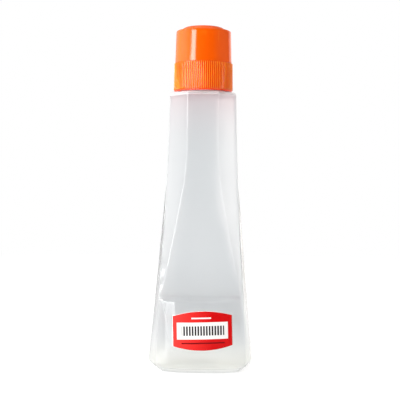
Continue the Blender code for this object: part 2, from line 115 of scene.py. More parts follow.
# ---------------------------------------------------------------- surfaces
@dataclass
class Skin:
    """A surface on a grid of points whose faces look outwards.

    Rows run along a profile and columns run round it or across it.

    Attributes:
        points: Array of rows by columns by 3.
        rows_close: Whether the last row joins the first.
        columns_close: Whether the last column joins the first.
        foot: Point that closes the surface before the first row.
        crown: Point that closes it after the last row.
        chart: Array of rows by columns by 2, the place of each point on a flat print.
    """

    points: Array
    rows_close: bool = False
    columns_close: bool = True
    foot: Optional[Array] = None
    crown: Optional[Array] = None
    chart: Optional[Array] = None

    def faces(self) -> list[list[int]]:
        """Quads between neighbouring rows and columns, and fans of triangles to the two end points.

        Returns:
            Corner indices of every face, anticlockwise from outside.
        """
        rows, columns = self.points.shape[:2]
        index = np.arange(rows * columns).reshape(rows, columns)
        low = index if self.rows_close else index[:-1]
        high = np.roll(index, -1, axis=0) if self.rows_close else index[1:]
        quads = [self.here(low), self.after(low), self.after(high), self.here(high)]
        made = np.stack(quads, axis=-1).reshape(-1, 4).tolist()
        count = rows * columns
        if self.foot is not None:
            first = index[:1]
            tip = np.full_like(self.here(first), count)
            fan = np.stack([tip, self.after(first), self.here(first)], axis=-1)
            made += fan.reshape(-1, 3).tolist()
            count += 1
        if self.crown is not None:
            last = index[-1:]
            tip = np.full_like(self.here(last), count)
            fan = np.stack([self.here(last), self.after(last), tip], axis=-1)
            made += fan.reshape(-1, 3).tolist()
        return made

    def here(self, index: Array) -> Array:
        """The indices that have a neighbour in the next column."""
        return index if self.columns_close else index[:, :-1]

    def after(self, index: Array) -> Array:
        """Those neighbours' indices."""
        return np.roll(index, -1, axis=1) if self.columns_close else index[:, 1:]

    def piece(self, name: str) -> Piece:
        """An object at the origin that carries this surface.

        Args:
            name: Name of the object and its mesh.

        Returns:
            The new object, smooth shaded and linked to the scene.
        """
        tips = [tip for tip in (self.foot, self.crown) if tip is not None]
        return piece_from(name, np.vstack([self.points.reshape(-1, 3), *tips]), self.faces(), self.chart)


def piece_from(name: str, spots: Array, faces: list[list[int]], chart: Optional[Array] = None) -> Piece:
    """An object at the origin from points and faces.

    Args:
        name: Name of the object and its mesh.
        spots: Array of points by 3.
        faces: Corner indices of each face.
        chart: Place of each point on a flat print, stored as the UV map "print".

    Returns:
        The new object, smooth shaded and linked to the scene.
    """
    mesh = bpy.data.meshes.new(name)
    mesh.from_pydata(spots.tolist(), [], faces)
    mesh.shade_smooth()
    if chart is not None:
        corners = np.zeros(len(mesh.loops), dtype=np.int32)
        mesh.loops.foreach_get("vertex_index", corners)
        layer = mesh.uv_layers.new(name="print")
        layer.data.foreach_set("uv", chart.reshape(-1, 2)[corners].astype(np.float32).ravel())
    mesh.validate()
    made = bpy.data.objects.new(name, mesh)
    bpy.context.scene.collection.objects.link(made)
    return made


def bezier(start: Array, corner: Array, end: Array, steps: int) -> Array:
    """A quadratic curve that rounds a corner: (1-t)^2 start + 2t(1-t) corner + t^2 end.

    Args:
        start: Where the curve leaves the first side; any shape that ends in coordinates.
        corner: The sharp corner.
        end: Where it meets the second side.
        steps: Spans of the curve.

    Returns:
        Array with one more leading axis, of steps + 1 entries.
    """
    share = np.linspace(0.0, 1.0, steps + 1).reshape((-1,) + (1,) * np.ndim(start))
    return (1 - share) ** 2 * start + 2 * share * (1 - share) * corner + share ** 2 * end


def refined(path: Array, step: float, closed: bool) -> Array:
    """The same path with points no further apart than a step.

    Args:
        path: Array of points by 2.
        step: Largest distance between points.
        closed: Whether the last point joins the first.

    Returns:
        Array of points by 2.
    """
    starts = path if closed else path[:-1]
    spans = (np.roll(path, -1, axis=0) if closed else path[1:]) - starts
    counts = np.maximum(1, np.ceil(np.linalg.norm(spans, axis=1) / step)).astype(int)
    index = np.repeat(np.arange(len(starts)), counts)
    done = np.arange(counts.sum()) - np.repeat(np.cumsum(counts) - counts, counts)
    made = starts[index] + spans[index] * (done / counts[index])[:, None]
    return made if closed else np.vstack([made, path[-1:]])


def softened(corners: Sequence[tuple[float, float, float]], closed: bool, step: float) -> Array:
    """A profile whose corners are rounded by quadratic curves.

    Args:
        corners: (radius, height, ease) of each corner; the ease is the length cut from both sides.
        closed: Whether the last corner joins the first.
        step: Largest distance between points.

    Returns:
        Array of points by 2.
    """
    given = np.array(corners, float)
    spots, eases = given[:, :2], given[:, 2]
    back = np.roll(spots, 1, axis=0) - spots
    onward = np.roll(spots, -1, axis=0) - spots
    if not closed:
        back[0], onward[-1] = onward[0], back[-1]
        eases[[0, -1]] = 0.0
    back_length = np.linalg.norm(back, axis=1)
    onward_length = np.linalg.norm(onward, axis=1)
    cut = np.minimum(eases, CORNER_SHARE * np.minimum(back_length, onward_length))
    start = spots + back * (cut / back_length)[:, None]
    end = spots + onward * (cut / onward_length)[:, None]
    path = bezier(start, spots, end, CORNER_STEPS).transpose(1, 0, 2).reshape(-1, 2)
    apart = np.linalg.norm(path - np.roll(path, 1, axis=0), axis=1) > SAME_SPOT
    apart[0] = True
    return refined(path[apart], step, closed)


def lathed(profile: Array, columns: int, closed: bool, relief: Optional[Array] = None,
           angles: Optional[Array] = None) -> Skin:
    """A turned surface: the point (r, z) at angle t lies at ((r + relief) cos t, (r + relief) sin t, z).

    The profile runs out along the underside, up the outside and in over the top.

    Args:
        profile: Array of points by 2. An open profile starts and ends on the axis.
        columns: Points round the axis.
        closed: Whether the profile is a ring of its own.
        relief: Array of points by columns that is added to the radius.
        angles: Where the columns stand, if they aren't evenly spaced.

    Returns:
        The closed surface.
    """
    angles = np.arange(columns) * math.tau / columns if angles is None else angles
    radius = profile[:, :1] + (0.0 if relief is None else relief) + np.zeros((1, columns))
    height = profile[:, 1:] + np.zeros((1, columns))
    points = np.stack([radius * np.cos(angles), radius * np.sin(angles), height], axis=-1)
    if closed:
        return Skin(points, rows_close=True)
    foot = (0.0, 0.0, profile[0, 1])
    crown = (0.0, 0.0, profile[-1, 1])
    return Skin(points[1:-1], foot=np.array(foot), crown=np.array(crown))


def ramp(value: Array, low: float, high: float) -> Array:
    """Zero up to low, one from high on, and a smooth S between them."""
    share = np.clip((value - low) / (high - low), 0.0, 1.0)
    return share * share * (3.0 - 2.0 * share)


@dataclass(frozen=True)
class Thread:
    """A right-hand screw thread, as a height over a cylinder."""

    start: float
    turns: float
    height: float
    pitch: float = 0.0040
    crest: float = 0.00035
    root: float = 0.00090
    run_out: float = math.radians(35)

    def relief(self, angles: Array, heights: Array) -> Array:
        """Height of the thread: a flat crest, sloping flanks, and a run-out at both ends.

        Args:
            angles: Array of columns, in radians.
            heights: Array of rows.

        Returns:
            Array of rows by columns.
        """
        laps = np.arange(math.ceil(self.turns) + 1)[:, None, None]
        along = angles[None, None, :] % math.tau + math.tau * laps
        off = np.abs(heights[None, :, None] - self.start - self.pitch * along / math.tau)
        flank = np.clip((self.root - off) / (self.root - self.crest), 0.0, 1.0)
        end = self.turns * math.tau
        fade = np.clip(along / self.run_out, 0.0, 1.0) * np.clip((end - along) / self.run_out, 0.0, 1.0)
        return self.height * np.max(flank * np.sqrt(fade), axis=0)


# ---------------------------------------------------------------- finishes
class Board:
    """A node tree and short ways to place nodes in it."""

    def __init__(self, tree: Tree) -> None:
        """Keeps the tree."""
        self.tree = tree

    def put(self, kind: str, **settings: Any) -> Node:
        """A new node of a kind, with its settings."""
        node = self.tree.nodes.new(kind)
        for key, value in settings.items():
            setattr(node, key, value)
        return node

    def feed(self, socket: Socket, value: Feed) -> None:
        """Links an input to a socket, or gives it a number, vector or colour.

        Args:
            socket: The input.
            value: What goes into it.
        """
        if isinstance(value, Socket):
            self.tree.links.new(value, socket)
        elif isinstance(value, tuple) and socket.type == "RGBA":
            socket.default_value = (*value, 1.0)
        else:
            socket.default_value = value

    def feed_all(self, sockets: Iterable[Socket], values: Sequence[Feed]) -> None:
        """Feeds the first few of some inputs, in order."""
        for socket, value in zip(sockets, values):
            self.feed(socket, value)

    def fill(self, node: Node, **values: Feed) -> Node:
        """Feeds a node's inputs by name, where an underscore stands for a space."""
        for name, value in values.items():
            self.feed(node.inputs[name.replace("_", " ")], value)
        return node

    def wired(self, kind: str, **values: Feed) -> Node:
        """A new node of a kind, with its inputs fed by name."""
        return self.fill(self.put(kind), **values)

    def maths(self, operation: str, *values: Feed) -> Socket:
        """The result of a sum on numbers or sockets."""
        node = self.put("ShaderNodeMath", operation=operation)
        self.feed_all(node.inputs, values)
        return node.outputs[0]

    def times(self, first: Feed, second: Feed) -> Socket:
        """The product of two numbers or sockets."""
        return self.maths("MULTIPLY", first, second)

    def blend(self, share: Feed, first: Feed, second: Feed) -> Socket:
        """A colour between two, by a share from 0 to 1."""
        node = self.put("ShaderNodeMix", data_type="RGBA", clamp_factor=True)
        self.feed_all([node.inputs[number] for number in MIX_SOCKETS], (share, first, second))
        return node.outputs[MIX_RESULT]

    def spread(self, value: Feed, low: float, high: float,
               to_low: float = 0.0, to_high: float = 1.0) -> Socket:
        """A number carried from one range to another and kept inside it.

        Args:
            value: The number.
            low: One end of the first range.
            high: Its other end.
            to_low: What the low end becomes.
            to_high: What the high end becomes.

        Returns:
            The carried number.
        """
        node = self.put("ShaderNodeMapRange", clamp=True)
        self.feed_all(node.inputs, (value, low, high, to_low, to_high))
        return node.outputs[0]

    def noise(self, vector: Feed, scale: Feed, detail: float, rough: float) -> Socket:
        """A cloudy number from 0 to 1; detail counts its finer layers and rough is each one's strength."""
        node = self.wired("ShaderNodeTexNoise", Vector=vector, Scale=scale, Detail=detail, Roughness=rough)
        return node.outputs["Fac"]

    def mapped(self, vector: Socket, scale: Colour, turn: Colour = (0.0, 0.0, 0.0)) -> Socket:
        """A vector turned and stretched."""
        node = self.wired("ShaderNodeMapping", Vector=vector, Scale=scale, Rotation=turn)
        return node.outputs["Vector"]

    def place(self) -> Socket:
        """The point's own place on the part, in metres."""
        return self.put("ShaderNodeTexCoord").outputs["Object"]

    def parts(self, vector: Socket) -> tuple[Socket, ...]:
        """The three parts of a vector."""
        return tuple(self.wired("ShaderNodeSeparateXYZ", Vector=vector).outputs)

    def length(self, vector: Socket) -> Socket:
        """The length of a vector."""
        node = self.put("ShaderNodeVectorMath", operation="LENGTH")
        self.feed(node.inputs[0], vector)
        return node.outputs["Value"]

    def group(self, tree: Tree, **values: Feed) -> Node:
        """A placed node group, with its inputs fed by name."""
        return self.fill(self.put("ShaderNodeGroup", node_tree=tree), **values)

    def swelling(self, grain: Node, span: Span) -> Socket:
        """A number that follows the slow swell of a placed grain from one end of a span to the other."""
        return self.spread(grain.outputs["Swell"], *SWELL_EDGES, *span)

    def bump(self, height: Socket, distance: float, under: Optional[Socket] = None) -> Socket:
        """A normal raised by a height of 0 to 1.

        Args:
            height: The height.
            distance: What a height of 1 stands for, in metres.
            under: A normal that it is added to.

        Returns:
            The raised normal.
        """
        node = self.wired("ShaderNodeBump", Distance=distance, Height=height)
        if under is not None:
            self.feed(node.inputs["Normal"], under)
        return node.outputs["Normal"]


def new_group(name: str, inputs: dict[str, str], outputs: dict[str, str]) -> tuple[Board, Node, Node]:
    """An empty shader node group.

    Args:
        name: Name of the group.
        inputs: Socket kind by name.
        outputs: Socket kind by name.

    Returns:
        Its board, its input node and its output node.
    """
    tree = bpy.data.node_groups.new(name, "ShaderNodeTree")
    for way, sockets in (("INPUT", inputs), ("OUTPUT", outputs)):
        for label, kind in sockets.items():
            tree.interface.new_socket(name=label, in_out=way, socket_type=kind)
    board = Board(tree)
    return board, board.put("NodeGroupInput"), board.put("NodeGroupOutput")


class Effects:
    """The surface effects that several finishes share, each built once as a node group."""

    SWELL_SHARE = 1.0 / 12.0
    CLOUD_EDGES = (0.3, 0.7)
    SCUFF_TURNS = ((0.3, 0.9, 0.2), (1.1, -0.5, 0.8))
    SCUFF_STRETCH = 34.0
    SCUFF_EDGES = (0.62, 0.72)
    PATCH_EDGES = (0.48, 0.68)

    def __init__(self) -> None:
        """Builds the groups."""
        self.grain = self.make_grain()
        self.clouds = self.make_clouds()
        self.scuffs = self.make_scuffs()

    def make_grain(self) -> Tree:
        """Fine moulded grain: a sharp cloud at the scale and a slow swell at a twelfth of it.

        Returns:
            The group.
        """
        sockets = {"Vector": "NodeSocketVector", "Scale": "NodeSocketFloat"}
        results = {"Grain": "NodeSocketFloat", "Swell": "NodeSocketFloat"}
        board, given, made = new_group("moulded_grain", sockets, results)
        vector, scale = given.outputs["Vector"], given.outputs["Scale"]
        slow = board.times(scale, self.SWELL_SHARE)
        board.fill(made, Grain=board.noise(vector, scale, detail=4.0, rough=0.6),
                   Swell=board.noise(vector, slow, detail=2.0, rough=0.4))
        return board.tree

    def make_clouds(self) -> Tree:
        """Two colours that drift into each other.

        Returns:
            The group.
        """
        sockets = {"Vector": "NodeSocketVector", "Scale": "NodeSocketFloat"}
        sockets |= {"First": "NodeSocketColor", "Second": "NodeSocketColor"}
        results = {"Colour": "NodeSocketColor", "Mask": "NodeSocketFloat"}
        board, given, made = new_group("colour_clouds", sockets, results)
        cloud = board.noise(given.outputs["Vector"], given.outputs["Scale"], detail=5.0, rough=0.55)
        mask = board.spread(cloud, *self.CLOUD_EDGES)
        board.fill(made, Mask=mask, Colour=board.blend(mask, given.outputs["First"], given.outputs["Second"]))
        return board.tree

    def make_scuffs(self) -> Tree:
        """Thin rubbed lines in two crossing directions, broken up by a slow cloud.

        Returns:
            The group.
        """
        sockets = {"Vector": "NodeSocketVector", "Scale": "NodeSocketFloat", "Share": "NodeSocketFloat"}
        board, given, made = new_group("handling_scuffs", sockets, {"Mask": "NodeSocketFloat"})
        vector, scale = given.outputs["Vector"], given.outputs["Scale"]
        lines = []
        stretches = ((1.0, 1.0, self.SCUFF_STRETCH), (1.0, self.SCUFF_STRETCH, 1.0))
        for turn, stretch in zip(self.SCUFF_TURNS, stretches):
            drawn = board.noise(board.mapped(vector, stretch, turn), scale, detail=2.0, rough=0.5)
            lines.append(board.spread(drawn, *self.SCUFF_EDGES))
        patch = board.spread(board.noise(vector, scale, detail=2.0, rough=0.5), *self.PATCH_EDGES)
        rubbed = board.times(board.maths("MAXIMUM", *lines), patch)
        board.fill(made, Mask=board.times(rubbed, given.outputs["Share"]))
        return board.tree


def bare_material(name: str) -> tuple[Material, Board]:
    """A material with no nodes yet, and its board.

    Args:
        name: Name of the material.

    Returns:
        The material and its board.
    """
    made = bpy.data.materials.new(name)
    made.use_nodes = True
    made.node_tree.nodes.clear()
    return made, Board(made.node_tree)


def new_material(name: str) -> tuple[Material, Board, Node]:
    """An empty material with a Principled shader on its output.

    Args:
        name: Name of the material.

    Returns:
        The material, its board and its shader.
    """
    made, board = bare_material(name)
    shader = board.put("ShaderNodeBsdfPrincipled")
    board.wired("ShaderNodeOutputMaterial", Surface=shader.outputs["BSDF"])
    return made, board, shader


@dataclass(frozen=True)
class FrostedPlastic:
    """Milky blow-moulded polyethylene: a hazy, half clear wall under a slightly glossy skin."""

    name: str = "frosted_polyethylene"
    clear: Colour = (0.994, 0.996, 0.997)
    hazy: Colour = (0.972, 0.978, 0.981)
    transmission: float = 0.95
    roughness: Span = (0.29, 0.36)
    coat_roughness: float = 0.05
    index: float = 1.01
    cloud_scale: float = 38.0
    grain_scale: float = 900.0
    grain_depth: float = 0.000012
    swell_scale: float = 60.0
    swell_stretch: float = 0.35
    swell_depth: float = 0.00010
    scuff_scale: float = 90.0
    scuff_share: float = 0.3
    scuff_roughness: float = 0.05
    haze_depth: float = 0.0015
    # painted glow: a rosy colour laid on up by the orange cap, standing in for the cap's light in the plastic
    painted_cap_glow: Colour = (0.985, 0.885, 0.895)
    painted_cap_glow_from: float = 0.1140
    painted_cap_glow_to: float = 0.1446
    painted_cap_glow_bend: float = 0.8
    painted_cap_glow_fade: Span = (0.1446, 0.1456)
    # painted glow: a cream colour laid on in the heel, standing in for light from the floor
    painted_heel_glow: Colour = (0.985, 0.985, 0.950)
    painted_heel_glow_fade: Span = (0.0060, 0.0150)

    def with_painted_glows(self, board: Board, place: Socket, haze: Socket) -> Socket:
        """The haze with two painted glows: a rosy one up towards the orange cap, standing in for the cap's
        light scattered into the plastic, and a cream one in the heel, standing in for light from the floor.

        With t from 0 to 1 over the cap glow's height, its share is b t^3 + (1-b) t, where b is the glow's
        bend.

        Args:
            board: The board of the material.
            place: The point's own place.
            haze: The haze.

        Returns:
            The colour.
        """
        height = board.parts(place)[2]
        rise = board.spread(height, self.painted_cap_glow_from, self.painted_cap_glow_to)
        # painted cap glow, rising towards the shoulder and fading out above it
        painted_cap_glow = board.times(board.maths("POWER", rise, 3.0), self.painted_cap_glow_bend)
        painted_cap_glow = board.maths("MULTIPLY_ADD", rise, 1.0 - self.painted_cap_glow_bend, painted_cap_glow)
        near = board.spread(height, *self.painted_cap_glow_fade, 1.0, 0.0)
        with_cap_glow = board.blend(board.times(painted_cap_glow, near), haze, self.painted_cap_glow)
        # painted heel glow, fading out upwards
        heel = board.spread(height, *self.painted_heel_glow_fade, 1.0, 0.0)
        return board.blend(heel, with_cap_glow, self.painted_heel_glow)

    def make(self, effects: Effects) -> Material:
        """The material, from drifting haze, fine grain, a slow swell of the wall and light scuffs.

        Args:
            effects: The shared node groups.

        Returns:
            The material.
        """
        made, board, shader = new_material(self.name)
        place = board.place()
        haze = board.group(effects.clouds, Vector=place, Scale=self.cloud_scale,
                           First=self.clear, Second=self.hazy)
        grain = board.group(effects.grain, Vector=place, Scale=self.grain_scale)
        scuffs = board.group(effects.scuffs, Vector=place, Scale=self.scuff_scale, Share=self.scuff_share)
        worn = board.times(scuffs.outputs["Mask"], self.scuff_roughness)
        drawn_out = board.mapped(place, (1.0, 1.0, self.swell_stretch))
        slow = board.noise(drawn_out, self.swell_scale, detail=1.0, rough=0.3)
        swollen = board.bump(slow, self.swell_depth)
        board.fill(
            shader,
            Base_Color=self.with_painted_glows(board, place, haze.outputs["Colour"]),
            Roughness=board.maths("ADD", board.swelling(grain, self.roughness), worn),
            Normal=board.bump(grain.outputs["Grain"], self.grain_depth, under=swollen),
            IOR=self.index, Transmission_Weight=self.transmission,
            Subsurface_Weight=1.0, Subsurface_Scale=self.haze_depth, Subsurface_Radius=(1.0, 1.0, 1.0),
            Coat_Weight=1.0, Coat_Roughness=self.coat_roughness)
        return made


@dataclass(frozen=True)
class MouldedPlastic:
    """Opaque injection-moulded plastic with a soft gloss.

    Where it has ribs, their crests are lighter, partly as wear and partly as a painted highlight, and their
    roots
    darker, as painted shade: crest_radius is theirs at crest_foot, and it draws in by crest_draft of the
    height above that. The crest_edges and root_edges are depths under the crest.
    """

    name: str
    colour: Colour
    shade: Colour
    # worn: the colour of scuffs, and on rib crests also a painted highlight
    worn: Colour
    roughness: Span
    index: float = 1.49
    cloud_scale: float = 55.0
    grain_scale: float = 1400.0
    grain_depth: float = 0.000006
    scuff_scale: float = 70.0
    wear_share: float = 0.5
    wear_roughness: float = 0.15
    patch_edges: Span = (0.35, 0.75)
    patch_least: float = 0.55
    crest_radius: float = 0.0
    crest_draft: float = 0.0
    crest_foot: float = 0.0
    crest_top: float = 0.0
    crest_edges: Span = (0.00012, 0.00003)
    # root: painted shade laid in the rib roots
    root: Colour = BLACK
    root_edges: Span = (0.00045, 0.00020)
    band_edges: Span = (0.0005, 0.0001)

    def make(self, effects: Effects) -> Material:
        """The material, from drifting colour, fine grain and scuffs; where ribs stand out, pale crests that
        are partly wear and partly a painted highlight, and roots darkened as painted shade.

        Args:
            effects: The shared node groups.

        Returns:
            The material.
        """
        made, board, shader = new_material(self.name)
        place = board.place()
        drift = board.group(effects.clouds, Vector=place, Scale=self.cloud_scale,
                            First=self.colour, Second=self.shade)
        grain = board.group(effects.grain, Vector=place, Scale=self.grain_scale)
        scuffs = board.group(effects.scuffs, Vector=place, Scale=self.scuff_scale, Share=self.wear_share)
        mask = scuffs.outputs["Mask"]
        colour = drift.outputs["Colour"]
        # On ribs the crests take the worn colour, partly wear and partly a painted highlight, and the roots
        # take the root colour, a painted shade.
        if self.crest_radius:
            crest, root = self.ribbed(board, place)
            patch = board.spread(grain.outputs["Swell"], *self.patch_edges, self.patch_least, 1.0)
            mask = board.maths("MAXIMUM", mask, board.times(crest, patch))
            colour = board.blend(root, colour, self.root)
        rubbed = board.times(mask, self.wear_roughness)
        board.fill(
            shader,
            Base_Color=board.blend(mask, colour, self.worn),
            Roughness=board.maths("ADD", board.swelling(grain, self.roughness), rubbed),
            Normal=board.bump(grain.outputs["Grain"], self.grain_depth), IOR=self.index)
        return made

    @staticmethod
    def below(level: float, depths: Span) -> Span:
        """The levels at two depths under one."""
        return level - depths[0], level - depths[1]

    def ribbed(self, board: Board, place: Socket) -> tuple[Socket, Socket]:
        """Masks of the ribs' crests, rubbed and lit by a painted highlight, and of their roots, darkened by
        painted shade, by distance from the axis.

        Args:
            board: The board of the material.
            place: The point's own place.

        Returns:
            The mask of crests and that of roots.
        """
        height = board.parts(place)[2]
        from_axis = board.length(board.mapped(place, (1.0, 1.0, 0.0)))
        rise = board.maths("SUBTRACT", height, self.crest_foot)
        level = board.maths("MULTIPLY_ADD", rise, self.crest_draft, from_axis)
        crest = board.spread(level, *self.below(self.crest_radius, self.crest_edges))
        deep = board.spread(level, *self.below(self.crest_radius, self.root_edges), 1.0, 0.0)
        band = board.spread(height, *self.below(self.crest_top, self.band_edges), 1.0, 0.0)
        return board.times(crest, band), board.times(deep, band)


@dataclass(frozen=True)
class PrintedLabel:
    """Coated label paper: red field, pale cut edge, dark keyline and a white panel with plain bars, and a
    painted highlight that lightens the red towards the left.
    """

    name: str = "label_print"
    red: Colour = (0.60, 0.003, 0.004)
    thin_red: Colour = (0.64, 0.009, 0.010)
    painted_highlight_red: Colour = (0.92, 0.048, 0.042)
    edge: Colour = (0.93, 0.80, 0.78)
    keyline: Colour = (0.32, 0.006, 0.008)
    white: Colour = (0.88, 0.87, 0.86)
    bars: Colour = (0.042, 0.040, 0.044)
    bar_edges: Span = (0.28, 0.33)
    rule: Colour = (0.20, 0.006, 0.008)
    painted_highlight_end: float = 0.3
    line_blur: float = 0.00003
    cloud_scale: float = 120.0
    grain_scale: float = 2600.0
    grain_depth: float = 0.000004
    roughness: Span = (0.16, 0.24)
    specular: float = 0.06

    def make(self, effects: Effects, label: "Label") -> Material:
        """The material, from the label's own print map.

        Args:
            effects: The shared node groups.
            label: The label, whose sizes the print follows.

        Returns:
            The material.
        """
        made, board, shader = new_material(self.name)
        u, v, _ = board.parts(board.put("ShaderNodeUVMap", uv_map="print").outputs["UV"])
        across = board.times(board.maths("SUBTRACT", u, 0.5), 2.0 * label.half_width)
        up = board.times(board.maths("SUBTRACT", v, 0.5), 2.0 * label.middle_half)
        side, tall = board.maths("ABSOLUTE", across), board.maths("ABSOLUTE", up)
        share = board.times(board.times(across, across), label.half_width ** -2)
        barrel = board.times(share, label.side_half - label.middle_half)
        from_curve = board.maths("SUBTRACT", board.maths("ADD", barrel, label.middle_half), tall)
        inside = board.maths("MINIMUM", from_curve, board.maths("SUBTRACT", label.half_width, side))

        def within(value: Socket, limit: float) -> Socket:
            """One where a number is under its limit."""
            return board.spread(value, limit - self.line_blur, limit + self.line_blur, 1.0, 0.0)

        def block(middle: Span, half: Span) -> Socket:
            """One inside a rectangle of the print."""
            x = board.maths("ABSOLUTE", board.maths("SUBTRACT", across, middle[0]))
            z = board.maths("ABSOLUTE", board.maths("SUBTRACT", up, middle[1]))
            return board.times(within(x, half[0]), within(z, half[1]))

        place = board.place()
        ink = board.group(effects.clouds, Vector=place, Scale=self.cloud_scale,
                          First=self.red, Second=self.thin_red)
        # Painted highlight: the red turns lighter towards the left, where the light falls.
        painted_highlight = board.spread(across, -label.half_width, self.painted_highlight_end * label.half_width, 1.0, 0.0)
        colour = board.blend(painted_highlight, ink.outputs["Colour"], self.painted_highlight_red)
        colour = board.blend(within(inside, label.edge_width + label.keyline_width), colour, self.keyline)
        colour = board.blend(within(inside, label.edge_width), colour, self.edge)
        colour = board.blend(block(label.panel_middle, label.panel_half), colour, self.white)
        wave = board.maths("FRACT", board.times(across, 1.0 / label.bar_pitch))
        off_middle = board.maths("ABSOLUTE", board.maths("SUBTRACT", wave, 0.5))
        bar = board.spread(off_middle, *self.bar_edges, 1.0, 0.0)
        bars = board.times(bar, block(label.bars_middle, label.bars_half))
        colour = board.blend(bars, colour, self.bars)
        colour = board.blend(block(label.upper_rule_middle, label.upper_rule_half), colour, self.white)
        colour = board.blend(block(label.lower_rule_middle, label.lower_rule_half), colour, self.rule)
        grain = board.group(effects.grain, Vector=place, Scale=self.grain_scale)
        board.fill(
            shader,
            Base_Color=colour, Roughness=board.swelling(grain, self.roughness),
            Normal=board.bump(grain.outputs["Grain"], self.grain_depth), Specular_IOR_Level=self.specular)
        return made


@dataclass(frozen=True)
class SoftFoam:
    """Open-celled or closed foam, dull and slightly uneven in colour."""

    name: str
    pale: Colour
    deep: Colour
    cell_scale: float
    depth: float
    pit_reach: float = 0.6
    pit_shade: float = 0.6
    cloud_scale: float = 150.0
    grain_share: float = 0.3
    roughness: Span = (0.86, 0.96)

    def make(self, effects: Effects) -> Material:
        """The material, darkened in its cells as painted shade, and dull all over.

        Args:
            effects: The shared node groups.

        Returns:
            The material.
        """
        made, board, shader = new_material(self.name)
        place = board.place()
        cells = board.wired("ShaderNodeTexVoronoi", Vector=place, Scale=self.cell_scale)
        tint = board.group(effects.clouds, Vector=place, Scale=self.cloud_scale,
                           First=self.pale, Second=self.deep)
        # painted shade: darker towards the bottom of each sunken cell
        pit = board.spread(cells.outputs["Distance"], 0.0, self.pit_reach, self.pit_shade, 0.0)
        grain = board.group(effects.grain, Vector=place, Scale=2.0 * self.cell_scale)
        raised = board.bump(cells.outputs["Distance"], self.depth)
        board.fill(
            shader,
            Base_Color=board.blend(pit, tint.outputs["Colour"], self.deep),
            Roughness=board.swelling(grain, self.roughness),
            Normal=board.bump(grain.outputs["Grain"], self.grain_share * self.depth, under=raised))
        return made


@dataclass(frozen=True)
class NylonThread:
    """Bright thin nylon filament."""

    name: str = "nylon_filament"
    pale: Colour = (0.82, 0.83, 0.82)
    deep: Colour = (0.70, 0.71, 0.70)
    cloud_scale: float = 700.0
    grain_scale: float = 9000.0
    grain_depth: float = 0.000004
    roughness: Span = (0.32, 0.45)

    def make(self, effects: Effects) -> Material:
        """The material, a faint drift of tone with a soft sheen.

        Args:
            effects: The shared node groups.

        Returns:
            The material.
        """
        made, board, shader = new_material(self.name)
        place = board.place()
        tint = board.group(effects.clouds, Vector=place, Scale=self.cloud_scale,
                           First=self.pale, Second=self.deep)
        grain = board.group(effects.grain, Vector=place, Scale=self.grain_scale)
        board.fill(shader, Base_Color=tint.outputs["Colour"], Roughness=board.swelling(grain, self.roughness),
                   Normal=board.bump(grain.outputs["Grain"], self.grain_depth))
        return made


def dressed(piece: Piece, material: Material, body: Body, slot: Slot, *nodes: str) -> Piece:
    """Gives a piece its finish, the body that it rides on, and the nodes that it stands for.

    Args:
        piece: The piece.
        material: Its finish.
        body: The body that it rides on.
        slot: Its material slot; not used.
        nodes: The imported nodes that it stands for.

    Returns:
        The same piece.
    """
    piece.data.materials.clear()
    piece.data.materials.append(material)
    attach(piece, body.value)
    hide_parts(*nodes)
    LOG.info("%s: %d faces on %s", piece.name, len(piece.data.polygons), body.value)
    return piece


# ---------------------------------------------------------------- the bottle
@dataclass(frozen=True)
class Section:
    """Sizes of the bottle's plan, each a column of one value per row."""

    half_width: Array
    crease_x: Array
    crease_y: Array
    facet_x: Array
    facet_y: Array
    bulge: Array
    dip: Array


